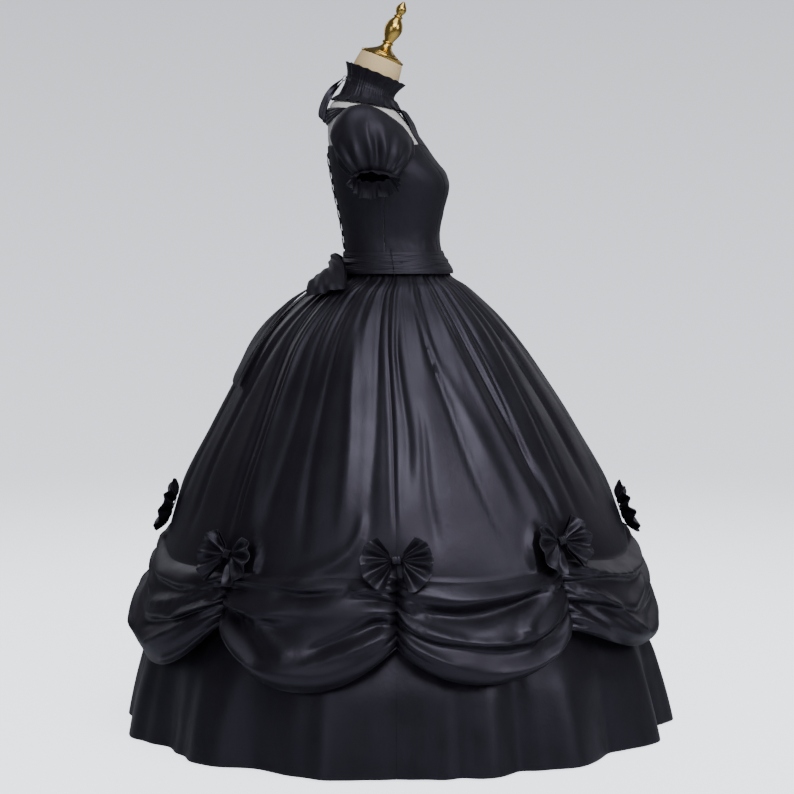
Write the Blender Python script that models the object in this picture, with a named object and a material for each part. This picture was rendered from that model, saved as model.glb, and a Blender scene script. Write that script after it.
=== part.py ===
"""A floor-length satin ball gown on a limbless dress form. Metres, +Z up, the front faces -Y.

The origin is on the floor, under the skirt's own axis. Angles round the body start at the centre front and
run to the wearer's left, so 90 degrees is the left side, 180 the back and 270 the right side.
"""

import math
from collections import namedtuple

import bmesh
import bpy
from mathutils import Vector

# Cloth and seams
CLOTH = 0.0015
THIN_CLOTH = 0.0010
FOLDED_CLOTH = 0.0026
SEAM_GAP = 0.0004
FORM_CLEARANCE = 0.0010
FORM_INSET = 0.0009

# Heights of the garment's seams and edges
HEM_HEIGHT = 0.004
WAIST_SEAM = 1.050
BACK_NECKLINE = 1.333
SIDE_NECKLINE = 1.302
FRONT_NECKLINE = 1.318
PRINCESS_NECKLINE = 1.335

# Skirts
SKIRT_COLUMNS = 96
UNDERSKIRT_COLUMNS = 56
PICK_UPS = 8
COLUMNS_PER_SWAG = SKIRT_COLUMNS // PICK_UPS
WAIST_GATHERS = 32
LONG_FOLDS = 16
HEM_FLUTES = 14
HEM_FLUTE_DEPTH = 0.012
UNDERSKIRT_INSET = 0.020
GATHER_WIDTH = 0.18

# Collar, sleeves and bows
COLLAR_RUFFLES = 18
SLEEVE_GATHERS = 12
CUFF_CENTRE = Vector((-0.213, 0.055, 1.268))
CUFF_RADIUS = 0.050
FRILL_RADIUS = 0.062
FRILL_LENGTH = 0.030
BOW_RADIUS = 0.067
BOW_FLARE = 0.012
BOW_FAN_ANGLE = math.radians(62)
RIBBON_WIDTH = 0.008
LACING_REACH = 0.034
LACING_TIP = 0.0025
LACING_ROWS = 8

# Dress form and its stand
NECK_TILT = math.radians(22)
NECK_SEAM = 1.452
CAP_CENTRE = Vector((0.0, 0.036, 1.535))
FORM_BOTTOM = 0.80
POLE_RADIUS = 0.0125
BASE_RADIUS = 0.170
BASE_HEIGHT = 0.014

# One section of the form: its level, its front and back points, half its width and how square it is
Section = namedtuple("Section", "level front_y front_z back_y back_z half_width squareness")
FORM = [
    Section(0.800, -0.095, 0.800, 0.120, 0.800, 0.150, 2.3),
    Section(0.860, -0.108, 0.860, 0.134, 0.860, 0.164, 2.3),
    Section(0.930, -0.112, 0.930, 0.135, 0.930, 0.162, 2.3),
    Section(0.985, -0.112, 0.985, 0.127, 0.985, 0.151, 2.3),
    Section(1.042, -0.112, 1.042, 0.118, 1.042, 0.132, 2.3),
    Section(1.090, -0.100, 1.090, 0.120, 1.090, 0.123, 2.3),
    Section(1.130, -0.095, 1.130, 0.124, 1.130, 0.120, 2.3),
    Section(1.180, -0.103, 1.180, 0.133, 1.180, 0.128, 2.3),
    Section(1.240, -0.116, 1.240, 0.146, 1.240, 0.143, 2.3),
    Section(1.270, -0.109, 1.270, 0.151, 1.270, 0.148, 2.3),
    Section(1.300, -0.086, 1.300, 0.156, 1.300, 0.151, 2.3),
    Section(1.330, -0.066, 1.330, 0.159, 1.330, 0.157, 2.3),
    Section(1.359, -0.049, 1.353, 0.1605, 1.365, 0.166, 2.3),
    Section(1.3865, -0.032, 1.378, 0.160, 1.395, 0.168, 2.3),
    Section(1.404, -0.018, 1.393, 0.158, 1.415, 0.156, 2.25),
    Section(1.4175, -0.008, 1.405, 0.153, 1.430, 0.124, 2.2),
    Section(1.4275, -0.001, 1.415, 0.143, 1.440, 0.092, 2.1),
    Section(1.439, 0.004, 1.428, 0.130, 1.450, 0.072, 2.0),
    Section(1.465, 0.0105, 1.4438, 0.1155, 1.4862, 0.0573, 2.0),
    Section(1.5025, -0.0028, 1.4815, 0.1010, 1.5235, 0.0560, 2.0),
    Section(1.535, -0.0110, 1.5160, 0.0830, 1.5540, 0.0507, 2.0),
]
BUST_RISE = 0.005
BUST_LEVEL = 1.243
BUST_ANGLE = math.radians(34)

# The skirt's outline at each height: how far it reaches to the front, the back and each side
Outline = namedtuple("Outline", "height front back side")
SKIRT = [
    Outline(0.000, 0.626, 0.630, 0.628),
    Outline(0.107, 0.603, 0.609, 0.606),
    Outline(0.280, 0.563, 0.566, 0.565),
    Outline(0.420, 0.528, 0.532, 0.530),
    Outline(0.500, 0.504, 0.510, 0.507),
    Outline(0.609, 0.455, 0.469, 0.462),
    Outline(0.721, 0.392, 0.413, 0.403),
    Outline(0.833, 0.317, 0.352, 0.335),
    Outline(0.888, 0.276, 0.317, 0.297),
    Outline(0.944, 0.229, 0.268, 0.250),
    Outline(1.000, 0.171, 0.200, 0.188),
    Outline(1.028, 0.138, 0.149, 0.160),
    Outline(1.050, 0.119, 0.127, 0.141),
]

# Where the overskirt is picked up: heights of the bow, and of the top and foot of the gathers under it
PickUp = namedtuple("PickUp", "angle bow gather_top gather_foot roll")
PICK_UP_TABLE = [
    PickUp(0, 0.500, 0.468, 0.335, 3),
    PickUp(48, 0.470, 0.434, 0.285, -9),
    PickUp(90, 0.452, 0.420, 0.275, 2),
    PickUp(132, 0.443, 0.406, 0.300, 7),
    PickUp(180, 0.505, 0.470, 0.340, -4),
    PickUp(228, 0.443, 0.406, 0.300, -7),
    PickUp(270, 0.452, 0.420, 0.275, 0),
    PickUp(311.5, 0.472, 0.434, 0.285, 9),
]

# Each swag: the heights of its top and of its lower edge, how far across it hangs lowest, and its folds' places as
# shares of the way down: a crest, a valley, a second crest, a hollow and the roll above the edge
Swag = namedtuple("Swag", "top edge low crest valley second hollow roll")
SWAG_TABLE = [
    Swag(0.410, 0.215, 0.52, 0.10, 0.29, 0.47, 0.64, 0.84),
    Swag(0.408, 0.190, 0.53, 0.11, 0.33, 0.55, 0.69, 0.84),
    Swag(0.415, 0.175, 0.47, 0.08, 0.19, 0.31, 0.54, 0.80),
    Swag(0.405, 0.182, 0.45, 0.12, 0.27, 0.41, 0.59, 0.81),
    Swag(0.405, 0.180, 0.57, 0.13, 0.29, 0.42, 0.60, 0.80),
    Swag(0.415, 0.175, 0.52, 0.07, 0.17, 0.28, 0.53, 0.80),
    Swag(0.405, 0.192, 0.46, 0.10, 0.33, 0.56, 0.70, 0.84),
    Swag(0.410, 0.213, 0.55, 0.11, 0.28, 0.45, 0.62, 0.83),
]

# How far out those lines stand, in the middle of a swag and at a pick-up, from its top to its tucked edge
SwagLine = namedtuple("SwagLine", "middle_out gather_out")
SWAG_LINES = [
    SwagLine(0.010, 0.004),
    SwagLine(0.036, 0.010),
    SwagLine(0.024, 0.003),
    SwagLine(0.050, 0.012),
    SwagLine(0.034, 0.003),
    SwagLine(0.055, 0.011),
    SwagLine(0.016, 0.006),
]

# The lines at which the smooth part of the overskirt is cut into rows, as shares of the way down
UPPER_ROWS = (0.0, 0.035, 0.095, 0.19, 0.31, 0.47, 0.67, 0.88)
UNDERSKIRT_HEIGHTS = (HEM_HEIGHT, 0.085, 0.175, 0.290, 1.000, WAIST_SEAM)

# The collar, from its lower ruffle over the drawn-in casing to its upper ruffle
CollarRow = namedtuple("CollarRow", "level lift ruffle")
COLLAR = [
    CollarRow(1.4225, 0.0048, 0.0022),
    CollarRow(1.4420, 0.0032, 0.0012),
    CollarRow(1.4650, 0.0009, 0.0003),
    CollarRow(1.4830, 0.0058, 0.0010),
    CollarRow(1.4990, 0.0152, 0.0020),
]

# The sash, from its lower to its upper edge, with its folds
SashRow = namedtuple("SashRow", "height lift")
SASH = [
    SashRow(1.0400, 0.0156),
    SashRow(1.0500, 0.0146),
    SashRow(1.0580, 0.0102),
    SashRow(1.0680, 0.0090),
    SashRow(1.0760, 0.0058),
    SashRow(1.0920, 0.0042),
]

# The turned finial: the distance along its axis from the neck's end, and its radius
Turn = namedtuple("Turn", "along radius")
FINIAL = [
    Turn(0.0006, 0.0512),
    Turn(0.0050, 0.0500),
    Turn(0.0075, 0.0420),
    Turn(0.0150, 0.0290),
    Turn(0.0250, 0.0145),
    Turn(0.0360, 0.0105),
    Turn(0.0470, 0.0135),
    Turn(0.0600, 0.0188),
    Turn(0.0740, 0.0206),
    Turn(0.0880, 0.0160),
    Turn(0.0980, 0.0085),
    Turn(0.1060, 0.0072),
    Turn(0.1140, 0.0114),
    Turn(0.1220, 0.0124),
    Turn(0.1310, 0.0080),
]
FINIAL_TIP = 0.1375


# Curves and small helpers


def smooth(table, at, column):
    """The value of a table's column on a smooth curve through its rows, which rise in their first column."""
    at = min(max(at, table[0][0]), table[-1][0])
    low = max(k for k in range(len(table) - 1) if table[k][0] <= at)

    def slope(k):
        before, after = table[max(k - 1, 0)], table[min(k + 1, len(table) - 1)]
        return (getattr(after, column) - getattr(before, column)) / (after[0] - before[0])

    span = table[low + 1][0] - table[low][0]
    t = (at - table[low][0]) / span
    start, end = getattr(table[low], column), getattr(table[low + 1], column)
    rise = (2 * t**3 - 3 * t**2 + 1) * start + (3 * t**2 - 2 * t**3) * end
    return rise + span * ((t**3 - 2 * t**2 + t) * slope(low) + (t**3 - t**2) * slope(low + 1))


def mix(a, b, share):
    return a + (b - a) * share


def ease(share):
    share = min(max(share, 0.0), 1.0)
    return share * share * (3 - 2 * share)


def bell(distance, width):
    return math.exp(-((distance / width) ** 2))


def from_angle(angle, other):
    """The shortest turn from one direction to another."""
    return (angle - other + math.pi) % (2 * math.pi) - math.pi


def finish(name, vertices, faces, material):
    """A closed solid from points and faces, with its faces turned outwards."""
    mesh = bpy.data.meshes.new(name)
    mesh.from_pydata([tuple(v) for v in vertices], [], faces)
    body = bmesh.new()
    body.from_mesh(mesh)
    bmesh.ops.recalc_face_normals(body, faces=body.faces)
    body.to_mesh(mesh)
    body.free()
    mesh.shade_smooth()
    mesh.set_sharp_from_angle(angle=math.radians(50))
    mesh.materials.append(material)
    made = bpy.data.objects.new(name, mesh)
    bpy.context.scene.collection.objects.link(made)
    return made


def wall(name, outside, inside, material, closed=False):
    """A cloth wall between two grids of points, rows of columns. A closed wall joins its last column to its first."""
    rows, columns = len(outside), len(outside[0])
    vertices = [p for row in outside for p in row] + [p for row in inside for p in row]
    across = columns if closed else columns - 1

    def out(i, j):
        return i * columns + j % columns

    def inn(i, j):
        return rows * columns + out(i, j)

    faces = []
    for i in range(rows - 1):
        for j in range(across):
            faces.append((out(i, j), out(i, j + 1), out(i + 1, j + 1), out(i + 1, j)))
            faces.append((inn(i, j), inn(i + 1, j), inn(i + 1, j + 1), inn(i, j + 1)))
        if not closed:
            last = columns - 1
            faces.append((out(i, 0), out(i + 1, 0), inn(i + 1, 0), inn(i, 0)))
            faces.append((out(i + 1, last), out(i, last), inn(i, last), inn(i + 1, last)))
    top = rows - 1
    for j in range(across):
        faces.append((out(0, j + 1), out(0, j), inn(0, j), inn(0, j + 1)))
        faces.append((out(top, j), out(top, j + 1), inn(top, j + 1), inn(top, j)))
    return finish(name, vertices, faces, material)


def moved_along_normals(grid, distance, closed=False):
    """The grid's points moved along its own normals, outwards where columns run to the left and rows run up."""
    rows, columns = len(grid), len(grid[0])

    def neighbour(j):
        return j % columns if closed else min(max(j, 0), columns - 1)

    moved = []
    for i, row in enumerate(grid):
        above, below = grid[min(i + 1, rows - 1)], grid[max(i - 1, 0)]
        line = []
        for j, point in enumerate(row):
            along = row[neighbour(j + 1)] - row[neighbour(j - 1)]
            up = above[j] - below[j]
            line.append(point + along.cross(up).normalized() * distance)
        moved.append(line)
    return moved


def sheet(name, grid, thickness, material, closed=False):
    """A wall whose outer side is the grid."""
    return wall(name, grid, moved_along_normals(grid, -thickness, closed), material, closed)


def mirrored(grid):
    """The same piece for the wearer's left side."""
    return [[Vector((-p.x, p.y, p.z)) for p in reversed(row)] for row in grid]


def even(start, end, count):
    return [mix(start, end, k / (count - 1)) for k in range(count)]


# The dress form's surface


def bare_form(angle, level):
    front = Vector((0.0, smooth(FORM, level, "front_y"), smooth(FORM, level, "front_z")))
    back = Vector((0.0, smooth(FORM, level, "back_y"), smooth(FORM, level, "back_z")))
    half_width = smooth(FORM, level, "half_width")
    squareness = smooth(FORM, level, "squareness")
    sine, cosine = math.sin(angle), math.cos(angle)
    reach = (abs(sine) ** squareness + abs(cosine) ** squareness) ** (-1 / squareness)
    point = (front + back) / 2 + (front - back) / 2 * cosine * reach
    point.x += half_width * sine * reach
    cups = sum(bell(from_angle(angle, side * BUST_ANGLE), 0.36) for side in (-1, 1))
    rise = BUST_RISE * cups * bell(level - BUST_LEVEL, 0.045)
    return point + Vector((sine, -cosine, 0.0)) * rise


def on_form(angle, level, lift):
    """A point this far off the form's surface."""
    step = 0.002
    along = bare_form(angle + step, level) - bare_form(angle - step, level)
    up = bare_form(angle, level + step) - bare_form(angle, level - step)
    return bare_form(angle, level) + along.cross(up).normalized() * lift


def form_wall(name, angles_at, levels_at, columns, lift, thickness, material):
    """A panel that lies this far off the form, between two angles that may change with its row."""
    rows = len(levels_at(0.0))
    grids = []
    for offset in (lift + thickness, lift):
        grid = []
        for row in range(rows):
            start, end = angles_at(row / (rows - 1))
            grid.append([on_form(angle, levels_at(angle)[row], offset) for angle in even(start, end, columns)])
        grids.append(grid)
    return wall(name, grids[0], grids[1], material)


# Pieces of the bodice


def neckline(angle):
    """Height of the bodice's upper edge: a shallow dip at the front, two peaks, and low under the arms."""
    turn = abs(from_angle(angle, 0.0))
    dip = mix(FRONT_NECKLINE, PRINCESS_NECKLINE, ease(turn / math.radians(36)))
    side = mix(dip, SIDE_NECKLINE, ease((turn - math.radians(40)) / math.radians(40)))
    return mix(side, BACK_NECKLINE, ease((turn - math.radians(105)) / math.radians(45)))


def princess_seam(share):
    return math.radians(mix(26, 37, share))


def opening_edge(share):
    return math.radians(mix(168, 165, share))


SIDE_SEAM = math.radians(95)
SEAM_TURN = SEAM_GAP / 2 / 0.12
TORSO_ROWS = (1.050, 1.090, 1.130, 1.175, 1.210, 1.242, 1.270)


def bodice_levels(angle):
    """Rows that share the torso's own levels below the bust, then close up to the neckline."""
    top = neckline(angle)
    return [WAIST_SEAM + SEAM_GAP, *TORSO_ROWS[1:], mix(TORSO_ROWS[-1], top, 0.5), top]


def build_bodice(satin):
    def panel(name, angles_at, columns, thickness=CLOTH):
        form_wall(name, angles_at, bodice_levels, columns, FORM_CLEARANCE, thickness, satin)

    panel("bodice_front", lambda s: (-princess_seam(s) + SEAM_TURN, princess_seam(s) - SEAM_TURN), 9)
    panel("bodice_side_left", lambda s: (princess_seam(s) + SEAM_TURN, SIDE_SEAM - SEAM_TURN), 6)
    panel("bodice_side_right", lambda s: (-SIDE_SEAM + SEAM_TURN, -princess_seam(s) - SEAM_TURN), 6)
    panel("bodice_back_left", lambda s: (SIDE_SEAM + SEAM_TURN, opening_edge(s) - SEAM_TURN), 6)
    panel("bodice_back_right", lambda s: (-opening_edge(s) + SEAM_TURN, -SIDE_SEAM - SEAM_TURN), 6)

    def placket_angles(share):
        edge = opening_edge(share)
        return edge + SEAM_TURN, 2 * math.pi - edge - SEAM_TURN

    panel("bodice_placket", placket_angles, 4, THIN_CLOTH)


def build_lacing(satin):
    """Two flat ribbons that zigzag over the placket and cross each other on its middle line."""
    heights = even(1.104, 1.312, LACING_ROWS)
    slope = math.atan2(heights[1] - heights[0], 2 * LACING_REACH)
    half_width = RIBBON_WIDTH / 2
    inner_mitre = half_width / math.sin(slope)
    for name, first_side, centre_lift in (("lacing_under", 1, 0.0032), ("lacing_over", -1, 0.0050)):
        path = []
        for k, height in enumerate(heights):
            side = first_side * (-1) ** k
            turn = side * LACING_REACH
            reaches = (LACING_TIP, inner_mitre) if side > 0 else (inner_mitre, LACING_TIP)
            path.append(((turn + reaches[0], height), (turn - reaches[1], height), 0.0038))
            if k + 1 < len(heights):
                middle = (height + heights[k + 1]) / 2
                across, rise = half_width * math.sin(slope), side * half_width * math.cos(slope)
                path.append(((across, middle + rise), (-across, middle - rise), centre_lift))
        outside, inside = [], []
        for left, right, lift in path:
            for rows, extra in ((outside, THIN_CLOTH), (inside, 0.0)):
                rows.append([on_form(math.pi - math.asin(x / 0.135), z, lift + extra) for x, z in (left, right)])
        wall(name, outside, inside, satin)


def build_yoke(satin):
    """The halter panel between the collar and the bodice, gathered where it stands off the neck."""
    rows, columns = 6, 13
    outside = []
    for share in even(0.0, 1.0, rows):
        half = math.radians(mix(33, 19, share))
        line = []
        for j, angle in enumerate(even(-half, half, columns)):
            level = mix(neckline(angle) + 2.5 * SEAM_GAP, 1.4155, share)
            stand = mix(FORM_CLEARANCE + CLOTH, 0.0120, ease((share - 0.35) / 0.65))
            gather = 0.0016 * (-1) ** j * ease((share - 0.3) / 0.7)
            line.append(on_form(angle, level, stand + gather))
        outside.append(line)
    inside = moved_along_normals(outside, -CLOTH)
    half = math.radians(33)
    inside[0] = [on_form(a, neckline(a) + 2.5 * SEAM_GAP, FORM_CLEARANCE) for a in even(-half, half, columns)]
    wall("halter_yoke", outside, inside, satin)


def build_back_band(satin):
    """The pleated band across the shoulder blades, drawn narrow where it goes under the sleeves."""
    columns = 15
    outside, inside = [], []
    for i, share in enumerate(even(0.0, 1.0, 5)):
        rows = ([], [])
        for turn in even(-1.0, 1.0, columns):
            angle = math.pi + turn * math.radians(66)
            spread = ease((1 - abs(turn)) / 0.75)
            low = mix(1.4040, 1.3740, spread)
            high = mix(1.4080, 1.4070, spread)
            pleat = 0.0009 * (i % 2) * (1 - 0.4 * spread)
            for row, lift in zip(rows, (FORM_CLEARANCE + CLOTH, FORM_CLEARANCE)):
                row.append(on_form(angle, mix(low, high, share), lift + pleat))
        outside.append(rows[0])
        inside.append(rows[1])
    wall("back_band", outside, inside, satin)


# The collar and its ribbon


def build_collar(satin):
    grids = []
    for extra in (THIN_CLOTH, 0.0):
        grid = []
        for row in COLLAR:
            line = []
            for j in range(2 * COLLAR_RUFFLES):
                angle = math.pi * j / COLLAR_RUFFLES
                wave = row.ruffle * (-1) ** j
                line.append(on_form(angle, row.level, row.lift + wave + extra))
            grid.append(line)
        grids.append(grid)
    wall("collar", grids[0], grids[1], satin, closed=True)


def ribbon(name, path, width_direction, width, thickness, material):
    """A flat ribbon along a path, with its width in one direction, pinched by the given shares."""
    grid = []
    for point, share in path:
        half = width_direction * (width * share / 2)
        grid.append([point - half, point + half])
    return sheet(name, grid, thickness, material)


def build_collar_ties(satin):
    """The drawn ribbon is tied behind the neck: a knot, two loops and two short tails."""
    middle = on_form(math.pi, 1.465, 0.0074)
    back = Vector((0.0, 1.0, 0.0))
    up = Vector((0.0, -math.sin(NECK_TILT), math.cos(NECK_TILT)))
    knot_ring("collar_tie_knot", middle, Vector((1.0, 0.0, 0.0)), up, back, (0.007, 0.0048, 0.0022), 0.0016, satin)
    for side, suffix in ((-1, "right"), (1, "left")):
        loop = [
            ((0.0096, 0.1260, 1.4880), 0.5),
            ((0.0150, 0.1420, 1.4740), 0.9),
            ((0.0240, 0.1600, 1.4520), 1.0),
            ((0.0350, 0.1720, 1.4260), 1.0),
            ((0.0430, 0.1765, 1.4060), 1.0),
            ((0.0450, 0.1750, 1.3965), 1.0),
            ((0.0420, 0.1705, 1.3975), 1.0),
            ((0.0340, 0.1688, 1.4150), 1.0),
            ((0.0230, 0.1610, 1.4380), 1.0),
            ((0.0140, 0.1440, 1.4610), 0.9),
            ((0.0105, 0.1310, 1.4765), 0.5),
        ]
        path = [(Vector((side * x, y, z)), share) for (x, y, z), share in loop]
        ribbon(f"collar_tie_loop_{suffix}", path, Vector((1.0, 0.0, 0.25 * side)), RIBBON_WIDTH, THIN_CLOTH, satin)
        tail = [
            ((0.0030, 0.1254, 1.4822), 0.5),
            ((0.0050, 0.1500, 1.4560), 0.9),
            ((0.0070, 0.1620, 1.4400), 1.0),
            ((0.0085, 0.1665, 1.4200), 1.0),
            ((0.0100, 0.1680, 1.3870), 1.0),
        ]
        path = [(Vector((side * x, y, z)), share) for (x, y, z), share in tail]
        ribbon(f"collar_tie_tail_{suffix}", path, Vector((1.0, 0.0, 0.0)), RIBBON_WIDTH, THIN_CLOTH, satin)


# Sleeves


def sleeve_point(turn, stage, out=0.0):
    """A point of the right sleeve. The turn starts on top and runs to the front; the stage runs from armhole to frill."""
    armhole_angle = 1.5 * math.pi + math.radians(43) * math.sin(turn)
    armhole = on_form(armhole_angle, 1.352 + 0.061 * math.cos(turn), 0.0043)
    axis = Vector((-0.46, 0.0, -0.89))
    outward = Vector((-0.89, 0.0, 0.46))
    ring = outward * math.cos(turn) - Vector((0.0, 1.0, 0.0)) * math.sin(turn)
    cuff = CUFF_CENTRE + ring * CUFF_RADIUS
    gather = math.cos(SLEEVE_GATHERS * turn)
    if stage > 1.0:
        share = stage - 1.0
        radius = mix(CUFF_RADIUS, FRILL_RADIUS, share) + 0.0035 * share * gather
        return CUFF_CENTRE + axis * (FRILL_LENGTH * share) + ring * (radius + out)
    top = max(math.cos(turn), 0.0)
    side = abs(math.sin(turn))
    flattened = 1 - 0.35 * bell(from_angle(turn, math.radians(50)), 0.55)
    bulge = (0.046 * top**1.5 + 0.024 * side**2) * flattened
    puff = math.sin(math.pi * stage) ** 0.7 if 0.0 < stage < 1.0 else 0.0
    push = outward * top + Vector((0.0, -math.sin(turn), 0.25 * top))
    fullness = mix(0.0012, 0.0024, ease(stage * 4))
    base = armhole.lerp(cuff, ease(stage) * 0.55 + stage * 0.45)
    return base + push * (bulge * puff) + ring * (gather * fullness * min(1.0, 0.3 + top + side))


def build_sleeves(satin):
    stages = (0.0, 0.12, 0.34, 0.60, 0.85, 1.0, 2.0)
    columns = 2 * SLEEVE_GATHERS
    grid = []
    for stage in reversed(stages):
        grid.append([sleeve_point(2 * math.pi * j / columns, stage) for j in range(columns)])
    sheet("sleeve_right", grid, CLOTH, satin, closed=True)
    sheet("sleeve_left", mirrored(grid), CLOTH, satin, closed=True)


# Skirts


def skirt_point(angle, height, out=0.0):
    """A point on the skirt's smooth outline, moved straight outwards."""
    front, back, side = (smooth(SKIRT, height, c) for c in ("front", "back", "side"))
    outward = Vector((math.sin(angle), -math.cos(angle), 0.0))
    round_point = Vector((side * outward.x, (back - front) / 2 + (back + front) / 2 * outward.y, height))
    waist = on_form(angle, WAIST_SEAM, 0.0070)
    waist.z = height
    return waist.lerp(round_point, ease((WAIST_SEAM - height) / 0.035)) + outward * out


def swag_share(angle):
    """The swag that an angle is in, how far across it is, and its closeness to the lowest place: 0 at the ends."""
    turn = math.degrees(angle) % 360
    starts = [pick_up.angle for pick_up in PICK_UP_TABLE]
    index = max(k for k in range(PICK_UPS) if starts[k] <= turn)
    end = starts[index + 1] if index + 1 < PICK_UPS else 360
    across = (turn - starts[index]) / (end - starts[index])
    leaning = across ** (math.log(0.5) / math.log(SWAG_TABLE[index].low))
    return index, across, 1 - abs(2 * leaning - 1)


def between_pick_ups(angle, pick_up_column, swag_column):
    """A height that is a pick-up's own at each end of a swag, and hangs down to the swag's in the middle."""
    index, across, share = swag_share(angle)
    start = getattr(PICK_UP_TABLE[index], pick_up_column)
    end = getattr(PICK_UP_TABLE[(index + 1) % PICK_UPS], pick_up_column)
    hang = 1 - (1 - share) ** 2.2
    return mix(mix(start, end, across), getattr(SWAG_TABLE[index], swag_column), hang)


def pulled_in(share):
    """0 in the gathers at a pick-up, rising soon to 1 in the swag's puff."""
    return (1 - math.exp(-share / GATHER_WIDTH)) / (1 - math.exp(-1 / GATHER_WIDTH))


def fold_phase(angle):
    return angle + 0.045 * math.sin(2 * angle + 0.8) + 0.025 * math.sin(5 * angle)


def long_folds(angle, height):
    """How far the gathers and long folds below the waist stand in or out."""
    drop = WAIST_SEAM - height
    gathers = mix(0.0017, 0.0050, ease(drop / 0.05)) * (1 - ease((drop - 0.08) / 0.20))
    folds = 0.0090 * ease(drop / 0.16) * (1 - ease((drop - 0.30) / 0.34))
    _, _, share = swag_share(angle)
    crest = 0.010 * bell(share, 0.30) * ease((drop - 0.36) / 0.16)
    phase = fold_phase(angle)
    return gathers * math.sin(WAIST_GATHERS * angle) + folds * math.sin(LONG_FOLDS * phase) + crest


def overskirt_angles():
    """The same number of columns in each swag."""
    starts = [pick_up.angle for pick_up in PICK_UP_TABLE] + [360]
    spans = zip(starts, starts[1:])
    return [math.radians(mix(a, b, k / COLUMNS_PER_SWAG)) for a, b in spans for k in range(COLUMNS_PER_SWAG)]


def overskirt_rows():
    """The overskirt's outer points, from its tucked lower edge up to the waist."""
    angles = overskirt_angles()
    rows = []
    for k in reversed(range(len(SWAG_LINES))):
        line = []
        for angle in angles:
            index, _, share = swag_share(angle)
            top = between_pick_ups(angle, "gather_top", "top")
            foot = between_pick_ups(angle, "gather_foot", "edge")
            swag = SWAG_TABLE[index]
            places = (0.0, swag.crest, swag.valley, swag.second, swag.hollow, swag.roll, 1.0)
            down = mix(k / (len(places) - 1), places[k], pulled_in(share))
            out = mix(SWAG_LINES[k].gather_out, SWAG_LINES[k].middle_out, pulled_in(share))
            line.append(skirt_point(angle, mix(top, foot, down), out))
        rows.append(line)
    for down in reversed(UPPER_ROWS):
        line = []
        for angle in angles:
            height = mix(WAIST_SEAM, between_pick_ups(angle, "gather_top", "top"), down)
            line.append(skirt_point(angle, height, long_folds(angle, height)))
        rows.append(line)
    return rows


def underskirt_point(angle, height):
    """A point of the underskirt: fluted at the hem, and close to the form at the waist, where it doesn't show."""
    if height == WAIST_SEAM:
        return on_form(angle, WAIST_SEAM, FORM_CLEARANCE + CLOTH)
    if height > 0.9:
        return on_form(angle, height, 0.0).lerp(skirt_point(angle, height), 0.25)
    depth = HEM_FLUTE_DEPTH * (1 - ease(height / 0.34)) * (0.75 + 0.25 * math.cos(3 * angle + 1))
    flute = depth * math.cos(HEM_FLUTES * fold_phase(angle) + 0.5)
    return skirt_point(angle, height, flute - 0.003 - UNDERSKIRT_INSET * ease((height - 0.16) / 0.13))


def underskirt_rows():
    """The underskirt's outer points, from the hem up."""
    turns = [2 * math.pi * j / UNDERSKIRT_COLUMNS for j in range(UNDERSKIRT_COLUMNS)]
    return [[underskirt_point(turn, height) for turn in turns] for height in UNDERSKIRT_HEIGHTS]


def front_and_back(name, outside, inside, material):
    """Cuts a closed skirt at its side seams into a front and a back."""
    all_round = len(outside[0])
    quarter = all_round // 4
    for suffix, first in (("back", quarter), ("front", 3 * quarter)):
        columns = [(first + k) % all_round for k in range(2 * quarter + 1)]
        halves = []
        for grid in (outside, inside):
            half = [[row[j].copy() for j in columns] for row in grid]
            for row in half:
                row[0] += (row[1] - row[0]).normalized() * (SEAM_GAP / 2)
                row[-1] += (row[-2] - row[-1]).normalized() * (SEAM_GAP / 2)
            halves.append(half)
        wall(f"{name}_{suffix}", halves[0], halves[1], material)


def build_skirts(satin):
    over = overskirt_rows()
    front_and_back("overskirt", over, moved_along_normals(over, -CLOTH, closed=True), satin)
    under = underskirt_rows()
    inner = moved_along_normals(under, -CLOTH, closed=True)
    turns = [2 * math.pi * j / UNDERSKIRT_COLUMNS for j in range(UNDERSKIRT_COLUMNS)]
    inner[-1] = [on_form(turn, WAIST_SEAM, FORM_CLEARANCE) for turn in turns]
    front_and_back("underskirt", under, inner, satin)
    return over


# Bows on the overskirt


def knot_ring(name, centre, along, up, out, opening, thickness, material):
    """A flat band round a bow's middle: half its width along, half its opening up and out, and its thickness."""
    half_width, half_up, half_out = opening
    corners = 8
    outside, inside = [], []
    for end in (-half_width, half_width):
        loops = ([], [])
        for k in range(corners):
            turn = 2 * math.pi * (k + 0.5) / corners
            sine, cosine = math.sin(turn), math.cos(turn)
            square = (abs(sine) ** 3 + abs(cosine) ** 3) ** (-1 / 3)
            for loop, extra in zip(loops, (thickness, 0.0)):
                rise = up * ((half_up + extra) * sine * square)
                reach = out * ((half_out + extra) * cosine * square)
                loop.append(centre + along * end + rise + reach)
        outside.append(loops[0])
        inside.append(loops[1])
    return wall(name, outside, inside, material, closed=True)


def point_at_height(grid, column, height):
    """The point of a grid's column at a height, on the straight edge between two of its rows."""
    line = [row[column] for row in grid]
    for low, high in zip(line, line[1:]):
        if low.z <= height <= high.z:
            return low.lerp(high, (height - low.z) / (high.z - low.z))
    raise ValueError("no row at that height")


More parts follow.
